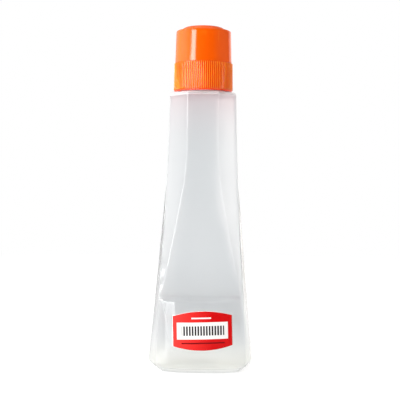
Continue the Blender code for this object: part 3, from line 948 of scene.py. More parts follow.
@dataclass(frozen=True)
class Bottle:
    """The blow-moulded bottle: an eight-sided grip over a bulged label panel, with a threaded neck."""

    shoulder_height: float = 0.1446
    bend_height: float = 0.105
    bend_softness: float = 0.012
    ledge_top: float = 0.0390
    ledge_foot: float = 0.0368
    ledge_dip: float = 0.0012
    panel_start: float = 0.0335
    heel_height: float = 0.0052
    shoulder_radius: float = 0.0020
    grip_half: float = 0.0171
    grip_facet: float = 0.0080
    bend_half: float = 0.0181
    ledge_half_width: float = 0.0239
    ledge_crease: float = 0.0217
    ledge_half_depth: float = 0.0144
    ledge_facet: float = 0.0203
    base_half_width: float = 0.0279
    base_crease: float = 0.0235
    base_corner_depth: float = 0.0140
    panel_bulge: float = 0.0043
    panel_roundness: float = 0.80
    panel_crown: float = 0.24
    crown_start: float = 0.0120
    side_crown: float = 1.4
    foot_inset_x: float = 0.0042
    foot_inset_y: float = 0.0044
    foot_height: float = 0.0019
    foot_edge: float = 0.0005
    foot_land: float = 0.0028
    land_bend: float = 0.0004
    toe_bend: float = 0.0006
    push_up: float = 0.0015
    push_up_bend: float = 0.0005
    underside_reach: float = 3.0
    floor_reach: float = 3.2
    wall: float = 0.0012
    body_wall: float = 0.0008
    wall_easing: float = 0.2
    ledge_drop: float = 0.6
    neck_radius: float = 0.0114
    neck_height: float = 0.0149
    neck_fillet: float = 0.0012
    bead_middle: float = 0.0023
    bead_half: float = 0.0006
    bead_proud: float = 0.0010
    rim_ease: float = 0.0003
    mouth_depth: float = 0.002
    thread_start: float = 0.0049
    thread_turns: float = 1.6
    thread_height: float = 0.0011
    crease_ease: float = 0.0004
    ledge_ease: float = 0.0007
    bend_share: float = 0.4
    seam_height: float = 0.00006
    seam_width: float = 0.00022
    seam_crowding: float = 0.7
    columns: tuple[int, int, int, int, int] = (14, 6, 6, 6, 12)
    bend_steps: int = 6
    heel_turn: Span = (-84.0, -4.0)
    heel_rows: int = 12
    inner_heel_turn: Span = (-8.0, -84.0)
    inner_heel_rows: int = 8
    shoulder_turn: Span = (10.0, 90.0)
    shoulder_rows: int = 8
    flat_rows: int = 6
    neck_rows: int = 68
    bore_rows: int = 9
    foot_step: float = 0.0008
    rim_step: float = 0.0006
    panel_step: float = 0.002
    band_step: float = 0.0009
    grip_step: float = 0.0028
    inner_panel_step: float = 0.003
    inner_grip_step: float = 0.004
    finish: FrostedPlastic = FrostedPlastic()
    # the thick finish carries the same painted cap glow, full from the shoulder's rounding up
    thick_finish: FrostedPlastic = FrostedPlastic(
        name="thick_polyethylene", clear=WHITE, hazy=(0.99, 0.99, 0.99), transmission=0.62,
        painted_cap_glow=(1.0, 0.89, 0.91), painted_cap_glow_to=0.1426)

    # the plan of a section
    def down_the_grip(self, shoulder: float, bend: float, ledge: float, height: Array) -> Array:
        """A size that runs straight from shoulder to bend and from bend to ledge.

        The bend is soft: the change of slope is spread as a parabola over its softness.

        Args:
            shoulder: The size at the shoulder.
            bend: The size at the bend.
            ledge: The size at the ledge.
            height: Heights, one per row.

        Returns:
            The size at each height.
        """
        upper = (bend - shoulder) / (self.shoulder_edge - self.bend_height)
        lower = (ledge - bend) / (self.bend_height - self.ledge_top)
        drop = self.bend_height - height
        past = np.clip(drop + self.bend_softness, 0.0, 2.0 * self.bend_softness)
        soft = np.where(drop > self.bend_softness, drop, past ** 2 / (4.0 * self.bend_softness))
        return shoulder + upper * (self.shoulder_edge - height) + (lower - upper) * soft

    @property
    def shoulder_edge(self) -> float:
        """Where the shoulder starts to round over."""
        return self.shoulder_height - self.shoulder_radius

    @property
    def rim(self) -> float:
        """Top of the neck."""
        return self.shoulder_height + self.neck_height

    def grip(self, height: Array) -> Section:
        """The eight-sided section above the ledge, whose corner facets narrow to nothing there.

        Args:
            height: Heights, one per row.

        Returns:
            The sizes of each row.
        """
        fall = (self.shoulder_edge - height) / (self.shoulder_edge - self.ledge_top)
        near = np.clip(1.0 - (height - self.ledge_top) / (self.bend_height - self.ledge_top), 0.0, 1.0)
        return Section(
            half_width=self.down_the_grip(self.grip_half, self.bend_half, self.ledge_half_width, height),
            crease_x=self.down_the_grip(self.grip_half, self.bend_half, self.ledge_crease, height),
            crease_y=self.down_the_grip(self.grip_facet, self.grip_facet, self.ledge_half_depth, height),
            facet_x=self.down_the_grip(self.grip_facet, self.grip_facet, self.ledge_facet, height),
            facet_y=self.grip_half + (self.ledge_half_depth - self.grip_half) * fall,
            bulge=np.zeros_like(height),
            dip=self.ledge_dip * near ** 3,
        )

    def panel(self, height: Array) -> Section:
        """The section below the ledge: bulged front and back, and sides that lean out to the seam.

        Args:
            height: Heights, one per row.

        Returns:
            The sizes of each row.
        """
        fall = (self.ledge_top - height) / self.ledge_top
        corner = self.ledge_half_depth + (self.base_corner_depth - self.ledge_half_depth) * fall
        crease = self.ledge_crease + (self.base_crease - self.ledge_crease) * fall
        start = np.clip((height - self.panel_start) / (self.ledge_foot - self.panel_start), 0.0, 1.0)
        crown = np.clip((height - self.crown_start) / (self.ledge_foot - self.crown_start), 0.0, 1.0)
        return Section(
            half_width=self.ledge_half_width + (self.base_half_width - self.ledge_half_width) * fall,
            crease_x=crease,
            crease_y=corner,
            facet_x=crease * self.ledge_facet / self.ledge_crease,
            facet_y=corner,
            bulge=self.panel_bulge * (1.0 - self.panel_crown * crown ** 2),
            dip=self.ledge_dip * start,
        )

    def depth(self, section: Section, x: Array) -> Array:
        """How far the front stands from the middle plane: two straight stretches and the bulge.

        The bulge falls to nothing at the crease as 1 - a s - (1-a) s^2, with s the square of x's share.

        Args:
            section: Sizes, one per row.
            x: Places across, of any columns.

        Returns:
            Array of the same shape as x.
        """
        across = np.clip(np.abs(x) - section.facet_x, 0.0, None) / (section.crease_x - section.facet_x)
        flat = section.facet_y + (section.crease_y - section.facet_y) * across
        share = (x / section.crease_x) ** 2
        fall = self.panel_roundness * share + (1.0 - self.panel_roundness) * share ** 2
        return flat + section.bulge * (1.0 - fall)

    def quarter(self, section: Section) -> Array:
        """Points from the middle of the front to the middle of the right side, with rounded creases.

        Args:
            section: Sizes, one per row.

        Returns:
            Array of rows by columns by 2.
        """
        def front(x: Array) -> Array:
            """Points of the front over x."""
            return np.stack([x, -self.depth(section, x)], axis=-1)

        def side(left: Array) -> Array:
            """Points of the side, by the share of the way that is left to the seam."""
            lean = (section.half_width - section.crease_x) * left ** self.side_crown
            return np.stack([section.half_width - lean, -section.crease_y * left], axis=-1)

        first, second, third, fourth, fifth = self.columns
        facet, crease = section.facet_x, section.crease_x
        ease = np.minimum(self.crease_ease, self.bend_share * (crease - facet))
        left_ease = ease / section.crease_y
        parts = [
            front((facet - ease) * np.linspace(0.0, 1.0, first, endpoint=False)),
            self.rounded(front(facet - ease), front(facet), front(facet + ease), second),
            front(facet + ease + (crease - facet - 2.0 * ease) * np.linspace(0.0, 1.0, third + 1)[1:-1]),
            self.rounded(front(crease - ease), front(crease), side(1.0 - left_ease), fourth),
            side((1.0 - left_ease) * (1.0 - np.linspace(0.0, 1.0, fifth + 1)[1:] ** self.seam_crowding)),
        ]
        return np.concatenate(parts, axis=1)

    @staticmethod
    def rounded(start: Array, corner: Array, end: Array, steps: int) -> Array:
        """A rounded crease for every row at once."""
        return bezier(start[:, 0], corner[:, 0], end[:, 0], steps).transpose(1, 0, 2)

    def rings(self, section: Section, height: Array, scale_x: Share = 1.0, scale_y: Share = 1.0) -> Array:
        """Closed rings, anticlockwise from the front; the ends of each rise by its dip.

        Args:
            section: Sizes, one per row.
            height: Heights, one per row, as a column.
            scale_x: Share of the plan's width that is kept.
            scale_y: Share of its depth.

        Returns:
            Array of rows by columns by 3.
        """
        plan = self.quarter(section)
        right = np.concatenate([plan, plan[:, -2::-1] * (1.0, -1.0)], axis=1)
        whole = np.concatenate([right, right[:, -2:0:-1] * (-1.0, 1.0)], axis=1)
        rise = section.dip * (whole[..., 0] / section.half_width) ** 2
        x, y = whole[..., 0], whole[..., 1]
        seam = self.seam_height * np.exp(-(y / self.seam_width) ** 2) * np.sign(x)
        return np.stack([(x + seam) * scale_x, y * scale_y, height + rise], axis=-1)

    @property
    def angles(self) -> Array:
        """Where the columns of a round ring stand, from the front."""
        count = 4 * sum(self.columns)
        return -0.5 * math.pi + math.tau * np.arange(count) / count

    def circle(self, radius: float, height: float) -> Array:
        """One round ring with the same columns."""
        level = np.full(len(self.angles), height)
        return np.stack([radius * np.cos(self.angles), radius * np.sin(self.angles), level], axis=-1)

    def inset(self, path: Array) -> Array:
        """Rings of the base, from a path of (inset, height): the plan shrinks by the inset.

        Args:
            path: Array of rows by 2.

        Returns:
            Array of rows by columns by 3.
        """
        height = np.full((len(path), 1), self.heel_height)
        section = self.panel(height)
        depth = self.depth(section, np.zeros_like(height))
        scale_x = 1.0 - path[:, :1] / section.half_width
        scale_y = 1.0 - path[:, :1] / self.foot_inset_x * self.foot_inset_y / depth
        return self.rings(section, path[:, 1:], scale_x, scale_y)

    def between(self, build: Callable[[Array], Section], low: float, high: float, step: float,
                thinner: float = 0.0, start: Optional[float] = None) -> Array:
        """Rings of a section law from one height to another, taken in by a wall.

        Args:
            build: The section law.
            low: Height of the first ring.
            high: Height of the last ring.
            step: Largest rise between rings.
            thinner: The wall that they are taken in by.
            start: The wall at the first ring, if it eases to the other on the way.

        Returns:
            Array of rows by columns by 3.
        """
        rows = max(2, math.ceil(abs(high - low) / step) + 1)
        height = np.linspace(low, high, rows).reshape(-1, 1)
        if start is not None:
            eased = ramp(height, low, low + self.wall_easing * (high - low))
            thinner = thinner + (start - thinner) * (1.0 - eased)
        section = build(height)
        depth = self.depth(section, np.zeros_like(height))
        return self.rings(section, height, 1.0 - thinner / section.half_width, 1.0 - thinner / depth)

    def ledge(self, thinner: float = 0.0, lower: float = 0.0) -> Array:
        """The ledge from panel to grip, with both its edges rounded.

        Args:
            thinner: The wall that it is taken in by.
            lower: How far it is let down.

        Returns:
            Array of rows by columns by 3.
        """
        ease = self.ledge_ease
        drop = np.array((0.0, 0.0, lower))
        foot = self.between(self.panel, self.ledge_foot, self.ledge_foot - ease, 1.0, thinner)
        top = self.between(self.grip, self.ledge_top, self.ledge_top + ease, 1.0, thinner)
        way = top[0] - foot[0]
        share = np.minimum(self.bend_share, ease / np.linalg.norm(way, axis=1))[:, None]
        low_bend = bezier(foot[1], foot[0], foot[0] + way * share, self.bend_steps)
        high_bend = bezier(top[0] - way * share, top[0], top[1], self.bend_steps)
        slope = low_bend[-1] + (high_bend[0] - low_bend[-1]) * QUARTERS
        return np.concatenate([low_bend, slope, high_bend]) - drop

    def outer(self) -> Array:
        """Outside rows from the middle of the underside up to the neck's rim.

        Returns:
            Array of rows by columns by 3.
        """
        land = self.foot_inset_x + self.foot_edge + self.foot_land
        corners = [
            (self.underside_reach * self.foot_inset_x, self.push_up, 0.0),
            (land + self.push_up, self.push_up, self.push_up_bend),
            (land, 0.0, self.land_bend), (self.foot_inset_x, 0.0, self.toe_bend),
            (self.foot_inset_x, self.foot_height - self.foot_edge, 0.0),
        ]
        foot = softened(corners, False, self.foot_step)
        angles = np.radians(np.linspace(*self.heel_turn, self.heel_rows))
        reach = self.foot_inset_x - self.foot_edge
        heel = np.stack([(1.0 - np.cos(angles)) * reach,
                         self.heel_height + (self.heel_height - self.foot_height) * np.sin(angles)], axis=-1)
        base = self.inset(np.vstack([foot, heel]))
        centre = np.array((0.0, 0.0, self.push_up))
        underside = centre + (base[0] - centre) * QUARTERS
        body = self.between(self.panel, self.heel_height, self.panel_start, self.panel_step)
        ledge_start, ledge_end = self.ledge_foot - self.ledge_ease, self.ledge_top + self.ledge_ease
        band = self.between(self.panel, self.panel_start, ledge_start, self.band_step)[1:-1]
        grip = self.between(self.grip, ledge_end, self.shoulder_edge, self.grip_step)[1:]
        rows = [underside, base, body, band, self.ledge(), grip, *self.shoulder()]
        return np.concatenate(rows)

    def shoulder(self, thinner: float = 0.0) -> list[Array]:
        """The rounded shoulder, the flat round the neck, and the fillet at the neck's foot.

        Args:
            thinner: The wall that it is taken in by.

        Returns:
            The rows of the three parts.
        """
        top = self.shoulder_height - thinner
        angles = np.radians(np.linspace(*self.shoulder_turn, self.shoulder_rows)).reshape(-1, 1)
        section = self.grip(np.full_like(angles, self.shoulder_edge))
        take = thinner + (self.shoulder_radius - thinner) * (1.0 - np.cos(angles))
        heights = self.shoulder_edge + (self.shoulder_radius - thinner) * np.sin(angles)
        scale = 1.0 - take / section.half_width
        over = self.rings(section, heights, scale, scale)
        neck = self.neck_radius - thinner
        foot = self.circle(neck + self.neck_fillet, top)
        shares = np.linspace(0.0, 1.0, self.flat_rows)[1:].reshape(-1, 1, 1)
        flat = over[-1] + (foot - over[-1]) * shares
        wall = self.circle(neck, top + self.neck_fillet)
        return [over, flat, bezier(foot, self.circle(neck, top), wall, CORNER_STEPS)[1:]]

    def neck(self) -> Array:
        """The neck's outside: a straight wall with a round bead and a thread, up to the eased rim.

        Returns:
            Array of rows by columns by 3.
        """
        low = self.shoulder_height + self.neck_fillet
        high = self.rim - self.rim_ease
        heights = np.linspace(low, high, self.neck_rows)[1:]
        angles = self.angles
        thread = Thread(self.shoulder_height + self.thread_start, self.thread_turns, self.thread_height)
        relief = thread.relief(angles, heights)
        off = (heights - self.shoulder_height - self.bead_middle) / self.bead_half
        bead = self.bead_proud * np.sqrt(np.clip(1.0 - off ** 2, 0.0, None))
        radius = self.neck_radius + np.maximum(relief, bead[:, None])
        level = heights[:, None] + np.zeros_like(radius)
        return np.stack([radius * np.cos(angles), radius * np.sin(angles), level], axis=-1)

    def inner(self) -> Array:
        """Inside rows from the rim down to the middle of the floor.

        Returns:
            Array of rows by columns by 3.
        """
        bore = self.neck_radius - self.wall
        throat = self.rim - self.mouth_depth
        rim = softened([(self.neck_radius, self.rim - self.rim_ease, 0.0),
                        (self.neck_radius, self.rim, self.rim_ease),
                        (bore, self.rim, self.rim_ease), (bore, throat, 0.0)], False, self.rim_step)
        mouth = [self.circle(radius, height)[None] for radius, height in rim[1:]]
        levels = np.linspace(throat, self.shoulder_height + self.neck_fillet, self.bore_rows)
        down = [self.circle(bore, height)[None] for height in levels[1:-1]]
        over, flat, fillet = self.shoulder(self.wall)
        grip = self.between(self.grip, self.shoulder_edge, self.ledge_top + self.ledge_ease,
                            self.inner_grip_step, self.body_wall, self.wall)
        lower = self.ledge_drop * self.body_wall
        ledge = self.ledge(self.body_wall, lower)[::-1]
        panel = self.between(self.panel, self.ledge_foot - 2.0 * self.ledge_ease - lower,
                             self.heel_height, self.inner_panel_step, self.body_wall)
        reach = self.foot_inset_x - self.foot_edge
        angles = np.radians(np.linspace(*self.inner_heel_turn, self.inner_heel_rows))
        drop = self.heel_height - self.foot_height - self.wall
        heel = np.stack([reach - (reach - self.body_wall) * np.cos(angles),
                         self.heel_height + drop * np.sin(angles)], axis=-1)
        land = self.foot_inset_x + self.foot_edge + self.foot_land
        floor = self.push_up + self.wall
        corners = [
            (*heel[-1], 0.0), (self.foot_inset_x + self.land_bend, heel[-1, 1], self.land_bend),
            (self.foot_inset_x + self.wall, self.wall, self.push_up_bend), (land, self.wall, self.land_bend),
            (land + self.push_up, floor, self.push_up_bend),
            (self.floor_reach * self.foot_inset_x, floor, 0.0),
        ]
        base = self.inset(np.vstack([heel, softened(corners, False, self.foot_step)[1:]]))
        rows = [*mouth, *down, fillet[::-1], flat[::-1], over[::-1], grip[1:], ledge, panel, base]
        return np.concatenate(rows)

    def build(self, effects: Effects) -> Piece:
        """The bottle as one closed surface, outside and inside.

        Args:
            effects: The shared node groups.

        Returns:
            The finished piece.
        """
        points = np.concatenate([self.outer(), self.neck(), self.inner()])
        foot = np.array((0.0, 0.0, self.push_up))
        crown = np.array((0.0, 0.0, self.push_up + self.wall))
        piece = Skin(points, foot=foot, crown=crown).piece("bottle_skin")
        dressed(piece, self.finish.make(effects), Body.BOTTLE, Slot.BOTTLE, "bottle")
        return self.thickened(piece, effects)

    def thickened(self, piece: Piece, effects: Effects) -> Piece:
        """Gives the shoulder's rounding and the neck, where the wall is thicker, a milkier finish.

        Args:
            piece: The bottle.
            effects: The shared node groups.

        Returns:
            The same piece.
        """
        piece.data.materials.append(self.thick_finish.make(effects))
        middles = np.empty(3 * len(piece.data.polygons), dtype=np.float32)
        piece.data.polygons.foreach_get("center", middles)
        thick = (middles[2::3] > self.shoulder_edge).astype(np.int32)
        piece.data.polygons.foreach_set("material_index", thick)
        return piece


@dataclass(frozen=True)
class Label:
    """The barrel-shaped sticker on the bulged panel, and the layout of its print."""

    half_width: float = 0.0153
    side_half: float = 0.0078
    middle_half: float = 0.0102
    height: float = 0.0224
    shift: float = 0.0009
    tilt: float = math.radians(1.7)
    gap: float = 0.00005
    thickness: float = 0.00016
    edge_width: float = 0.00023
    keyline_width: float = 0.00014
    panel_middle: Span = (-0.0001, 0.0001)
    panel_half: Span = (0.0130, 0.0043)
    bars_middle: Span = (0.0002, 0.0001)
    bars_half: Span = (0.0108, 0.0024)
    bar_pitch: float = 0.00144
    upper_rule_middle: Span = (-0.0006, 0.0065)
    upper_rule_half: Span = (0.0050, 0.00035)
    lower_rule_middle: Span = (0.0002, -0.0062)
    lower_rule_half: Span = (0.0110, 0.00035)
    columns: int = 73
    rows: int = 37
    finish: PrintedLabel = PrintedLabel()

    def build(self, bottle: Bottle, effects: Effects) -> Piece:
        """The sticker: its ends are straight, its long sides bow out as 1 - u^2, and it lies on the panel.

        Args:
            bottle: The bottle that carries it.
            effects: The shared node groups.

        Returns:
            The finished piece.
        """
        u, v = np.meshgrid(np.linspace(-1.0, 1.0, self.columns), np.linspace(-1.0, 1.0, self.rows))
        half = self.side_half + (self.middle_half - self.side_half) * (1.0 - u * u)
        across, up = self.half_width * u, half * v
        x = across * math.cos(self.tilt) - up * math.sin(self.tilt) + self.shift
        z = across * math.sin(self.tilt) + up * math.cos(self.tilt) + self.height
        y = -bottle.depth(bottle.panel(z), x) - self.gap
        chart = np.stack([0.5 + 0.5 * across / self.half_width, 0.5 + 0.5 * up / self.middle_half], axis=-1)
        skin = Skin(np.stack([x, y, z], axis=-1), columns_close=False, chart=chart)
        piece = skin.piece("label_sticker")
        paper = piece.modifiers.new("Paper", "SOLIDIFY")
        paper.thickness = self.thickness
        paper.offset = 1.0
        return dressed(piece, self.finish.make(effects, self), Body.BOTTLE, Slot.LABEL, "label")


# ---------------------------------------------------------------- the applicator head
@dataclass(frozen=True)
class Head:
    """The moulded plug in the neck and the clamp ring that holds the net on it."""

    columns: int = 160
    stem_radius: float = 0.0099
    stem_bore: float = 0.0087
    stem_bottom: float = 0.1508
    stem_taper: Span = (0.0006, 0.0008)
    stem_bend: float = 0.0004
    ease: float = 0.00025
    step: float = 0.0008
    flange_radius: float = 0.0122
    flange_bottom: float = 0.1598
    flange_top: float = 0.1612
    floor_top: float = 0.1610
    collar_radius: float = 0.0096
    collar_bore: float = 0.0083
    collar_top: float = 0.1642
    hole_radius: float = 0.0011
    hole_count: int = 6
    hole_sides: int = 20
    hole_spread: float = 0.58
    drill_over: float = 0.001
    ring_bore: float = 0.0099
    ring_radius: float = 0.0111
    ring_bottom: float = 0.1615
    lip_bottom: float = 0.1652
    lip_bore: float = 0.0086
    lip_thickness: float = 0.0011
    ring_ease: float = 0.0002
    ring_bend: float = 0.0006
    lip_bend: float = 0.0005
    ring_step: float = 0.0006
    plastic: MouldedPlastic = MouldedPlastic(
        "white_polyethylene", colour=(0.84, 0.84, 0.82), shade=(0.80, 0.80, 0.77), worn=(0.88, 0.88, 0.87),
        roughness=(0.32, 0.38), wear_share=0.3)
    clamp_plastic: MouldedPlastic = MouldedPlastic(
        "white_clamp_plastic", colour=(0.86, 0.86, 0.85), shade=(0.81, 0.81, 0.80), worn=(0.90, 0.90, 0.89),
        roughness=(0.25, 0.31), wear_share=0.3)

    def holder_profile(self) -> Array:
        """Half section of the plug, from under its floor, down the stem, up the outside and in again.

        Returns:
            Array of points by 2.
        """
        ease, bend = self.ease, self.stem_bend
        narrower, rise = self.stem_taper
        corners = [
            (0.0, self.flange_bottom, 0.0), (self.stem_bore, self.flange_bottom, bend),
            (self.stem_bore, self.stem_bottom, ease), (self.stem_radius - narrower, self.stem_bottom, ease),
            (self.stem_radius, self.stem_bottom + rise, bend), (self.stem_radius, self.flange_bottom, ease),
            (self.flange_radius, self.flange_bottom, ease), (self.flange_radius, self.flange_top, ease),
            (self.collar_radius, self.flange_top, ease), (self.collar_radius, self.collar_top, ease),
            (self.collar_bore, self.collar_top, ease), (self.collar_bore, self.floor_top, ease),
            (0.0, self.floor_top, 0.0),
        ]
        return softened(corners, False, self.step)

    def holes(self) -> Piece:
        """Round drills for the feed holes: one in the middle and a circle of them round it.

        Returns:
            One object of closed prisms.
        """
        sides = self.hole_sides
        angles = np.arange(sides) * math.tau / sides
        spin = (np.arange(self.hole_count) + 0.5) * math.tau / self.hole_count
        spread = self.hole_spread * self.collar_bore
        centres = np.vstack([[0.0, 0.0], np.stack([spread * np.cos(spin), spread * np.sin(spin)], axis=-1)])
        ring = self.hole_radius * np.stack([np.cos(angles), np.sin(angles)], axis=-1)
        flat = centres[:, None, None] + np.repeat(ring[None, None], 2, axis=1)
        levels = np.array((self.flange_bottom - self.drill_over, self.floor_top + self.drill_over))
        levels = levels.reshape(1, 2, 1, 1)
        spots = np.concatenate([flat, levels + np.zeros(flat.shape[:3] + (1,))], axis=-1)
        faces = []
        for start in range(0, len(centres) * 2 * sides, 2 * sides):
            low = np.arange(start, start + sides)
            walls = np.stack([low, np.roll(low, -1), np.roll(low, -1) + sides, low + sides], axis=-1)
            faces += [low[::-1].tolist(), (low + sides).tolist(), *walls.tolist()]
        return piece_from("feed_hole_drills", spots.reshape(-1, 3), faces)

    def ring_profile(self) -> Array:
        """Closed half section of the clamp ring: a skirt and a lip over the net's rim.

        Returns:
            Array of points by 2.
        """
        top = self.lip_bottom + self.lip_thickness
        ease = self.ring_ease
        corners = [
            (self.ring_bore, self.ring_bottom, ease), (self.ring_radius, self.ring_bottom, ease),
            (self.ring_radius, top, self.ring_bend), (self.lip_bore, top, self.lip_bend),
            (self.lip_bore, self.lip_bottom, ease), (self.ring_bore, self.lip_bottom, ease),
        ]
        return softened(corners, True, self.ring_step)

    def build(self, effects: Effects) -> list[Piece]:
        """The plug with its feed holes, and the clamp ring.

        Args:
            effects: The shared node groups.

        Returns:
            The finished pieces.
        """
        holder = lathed(self.holder_profile(), self.columns, False).piece("head_plug")
        drills = self.holes()
        cut = holder.modifiers.new("Feed holes", "BOOLEAN")
        cut.object = drills
        cut.operation = "DIFFERENCE"
        cut.solver = "EXACT"
        settled(holder)
        bpy.data.objects.remove(drills, do_unlink=True)
        ring = lathed(self.ring_profile(), self.columns, True).piece("clamp_ring")
        return [
            dressed(holder, self.plastic.make(effects), Body.HEAD, Slot.HOLDER, "applicator_holder"),
            dressed(ring, self.clamp_plastic.make(effects), Body.HEAD, Slot.RING, "mesh_ring"),
        ]


def settled(piece: Piece) -> None:
    """Replaces a piece's mesh by the one that its modifiers make, and drops them.

    Args:
        piece: The piece.
    """
    seen = piece.evaluated_get(bpy.context.evaluated_depsgraph_get())
    mesh = bpy.data.meshes.new_from_object(seen)
    piece.modifiers.clear()
    piece.data = mesh
    mesh.name = piece.name


@dataclass(frozen=True)
class Tip:
    """The foam dome and the woven net stretched over it."""

    foot: float = 0.1613
    shoulder: float = 0.1642
    seat: float = 0.1645
    foam_radius: float = 0.0080
    dome_radius: float = 0.0071
    dome_height: float = 0.0072
    foam_bend: float = 0.0004
    foam_columns: int = 200
    dome_rows: int = 46
    pores: int = 1500
    pore_seed: int = 41
    pore_lowest: float = 0.02
    pore_sizes: Span = (0.00018, 0.00038)
    pore_depth: float = 0.75
    batch: int = 2000
    net_clearance: float = 0.00045
    net_lift: float = 0.0002
    net_bend: Span = (0.0001, 0.0008)
    net_turn: Span = (90.0, 9.0)
    net_rows: int = 60
    net_bend_steps: int = 8
    net_edge: float = 0.0095
    thread_spacing: float = 0.00078
    thread_radius: float = 0.00010
    thread_sides: int = 5
    thread_points: int = 161
    shortest_thread: float = 0.002
    off_middle: float = 1e-9
    press: float = 0.0020
    foam: SoftFoam = SoftFoam("applicator_foam", (0.86, 0.82, 0.70), (0.62, 0.56, 0.42),
                              cell_scale=2200.0, depth=0.00012)
    nylon: NylonThread = NylonThread()

    def foam_skin(self) -> Skin:
        """The foam: a drum with a domed top, and a shallow round pit wherever a cell is cut open.

        Returns:
            The closed surface.
        """
        angles = np.radians(np.linspace(0.0, 90.0, self.dome_rows)[1:-1])
        dome = np.stack([self.dome_radius * np.cos(angles),
                         self.seat + self.dome_height * np.sin(angles)], axis=-1)
        bend = self.foam_bend
        corners = [(0.0, self.foot, 0.0), (self.foam_radius, self.foot, bend),
                   (self.foam_radius, self.shoulder, bend), (self.dome_radius, self.seat, 0.0)]
        drum = softened(corners, False, bend)
        top = np.array([[0.0, self.seat + self.dome_height]])
        skin = lathed(np.vstack([drum, dome, top]), self.foam_columns, False)
        chance = np.random.default_rng(self.pore_seed)
        spin = chance.uniform(0.0, math.tau, self.pores)
        rise = chance.uniform(self.pore_lowest, 1.0, self.pores)
        level = np.sqrt(np.clip(1.0 - rise ** 2, 0.0, None))
        cells = np.stack([self.dome_radius * level * np.cos(spin), self.dome_radius * level * np.sin(spin),
                          self.seat + self.dome_height * rise], axis=-1)
        size = chance.uniform(*self.pore_sizes, self.pores)
        flat = skin.points.reshape(-1, 3)
        pits = np.zeros(len(flat))
        for start in range(0, len(flat), self.batch):
            some = slice(start, start + self.batch)
            near = np.linalg.norm(flat[some, None] - cells[None], axis=2) / size
            pits[some] = np.max(size * np.clip(1.0 - near ** 2, 0.0, None), axis=1)
        way = flat - np.array((0.0, 0.0, self.seat))
        outward = way / np.maximum(np.linalg.norm(way, axis=1), HAIR)[:, None]
        skin.points = (flat - self.pore_depth * pits[:, None] * outward).reshape(skin.points.shape)
        return skin

    def meridian(self) -> tuple[Array, Array]:
        """The net's half section from the crown down the dome and out over the rim.

        Returns:
            Length along it, and its (radius, height) points.
        """
        reach = self.dome_radius + self.net_clearance
        tall = self.dome_height + self.net_clearance
        angles = np.radians(np.linspace(*self.net_turn, self.net_rows))
        dome = np.stack([reach * np.cos(angles), self.seat + tall * np.sin(angles)], axis=-1)
        level = self.seat + self.net_lift
        flat = np.array([[self.net_edge, level]])
        corner, end = (np.array((reach + out, level)) for out in self.net_bend)
        bend = bezier(dome[-1], corner, end, self.net_bend_steps)
        path = np.vstack([dome, bend[1:], flat])
        along = np.concatenate([[0.0], np.cumsum(np.linalg.norm(np.diff(path, axis=0), axis=1))])
        return along, path

    def net_piece(self) -> Piece:
        """The net: two crossing sets of threads in a plain weave, laid over the dome.

        A thread keeps its distance p from the middle of the flat net and runs along q; the point (p, q) goes
        to the place on the dome that lies sqrt(p^2 + q^2) down from the crown in the same direction, which
        off_middle settles at the crown. Each thread sways over and under the crossing ones as a cosine.

        Returns:
            The net, not yet finished.
        """
        along, path = self.meridian()
        reach = along[-1]
        count = int(reach / self.thread_spacing)
        lines = np.arange(-count, count + 1)
        p = lines * self.thread_spacing
        length = np.sqrt(np.clip(reach ** 2 - p ** 2, 0.0, None))
        kept = length > self.shortest_thread
        lines, p, length = lines[kept], p[kept], length[kept]
        t = np.linspace(-1.0, 1.0, self.thread_points)
        q = length[:, None] * t[None]
        far = np.sqrt(p[:, None] ** 2 + q ** 2)
        radius, height = np.interp(far, along, path[:, 0]), np.interp(far, along, path[:, 1])
        slope = np.gradient(path, along, axis=0)
        out = np.interp(far, along, -slope[:, 1])
        up = np.interp(far, along, slope[:, 0])
        sway = self.thread_radius * np.cos(math.pi * (q / self.thread_spacing + lines[:, None]))
        spots, faces, total = [], [], 0
        for swap in (False, True):
            turn = np.arctan2(q, p[:, None] + self.off_middle)
            turn = 0.5 * math.pi - turn if swap else turn
            offset = -sway if swap else sway
            across = radius + out * offset
            centre = np.stack([across * np.cos(turn), across * np.sin(turn), height + up * offset], axis=-1)
            normal = np.stack([out * np.cos(turn), out * np.sin(turn), up], axis=-1)
            made, joined = self.tubes(centre, normal, total)
            spots.append(made)
            faces += joined
            total += len(made)
        return piece_from("net_weave", np.vstack(spots), faces)

    def tubes(self, centre: Array, normal: Array, first: int) -> tuple[Array, list[list[int]]]:
        """Closed round tubes along rows of points, all at once.

        Args:
            centre: Array of threads by points by 3.
            normal: Surface normal at each point.
            first: Index of the first new point.

        Returns:
            The points, and the faces of sides and ends.
        """
        sides = self.thread_sides
        ahead = np.gradient(centre, axis=1)
        ahead /= np.linalg.norm(ahead, axis=-1, keepdims=True)
        across = np.cross(ahead, normal)
        across /= np.linalg.norm(across, axis=-1, keepdims=True)
        upright = np.cross(across, ahead)
        angles = np.arange(sides) * math.tau / sides
        ring = across[:, :, None] * np.cos(angles)[:, None] + upright[:, :, None] * np.sin(angles)[:, None]
        spots = centre[:, :, None] + self.thread_radius * ring
        threads, points = centre.shape[:2]
        index = first + np.arange(threads * points * sides).reshape(threads, points, sides)
        turned = np.roll(index, -1, axis=2)
        quads = np.stack([index[:, :-1], index[:, 1:], turned[:, 1:], turned[:, :-1]], axis=-1)
        faces = quads.reshape(-1, 4).tolist()
        faces += index[:, 0].tolist() + index[:, -1, ::-1].tolist()
        return spots.reshape(-1, 3), faces

    def build(self, effects: Effects) -> list[Piece]:
        """The foam and the net.

        Args:
            effects: The shared node groups.

        Returns:
            The finished pieces.
        """
        foam = self.foam_skin().piece("foam_dome")
        dressed(foam, self.foam.make(effects), Body.HEAD, Slot.SPONGE, "sponge")
        net = self.net_piece()
        dressed(net, self.nylon.make(effects), Body.HEAD, Slot.NET, "mesh_cover")
        for piece, base in ((foam, self.foot), (net, self.seat)):
            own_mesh(piece)
        return [foam, net]


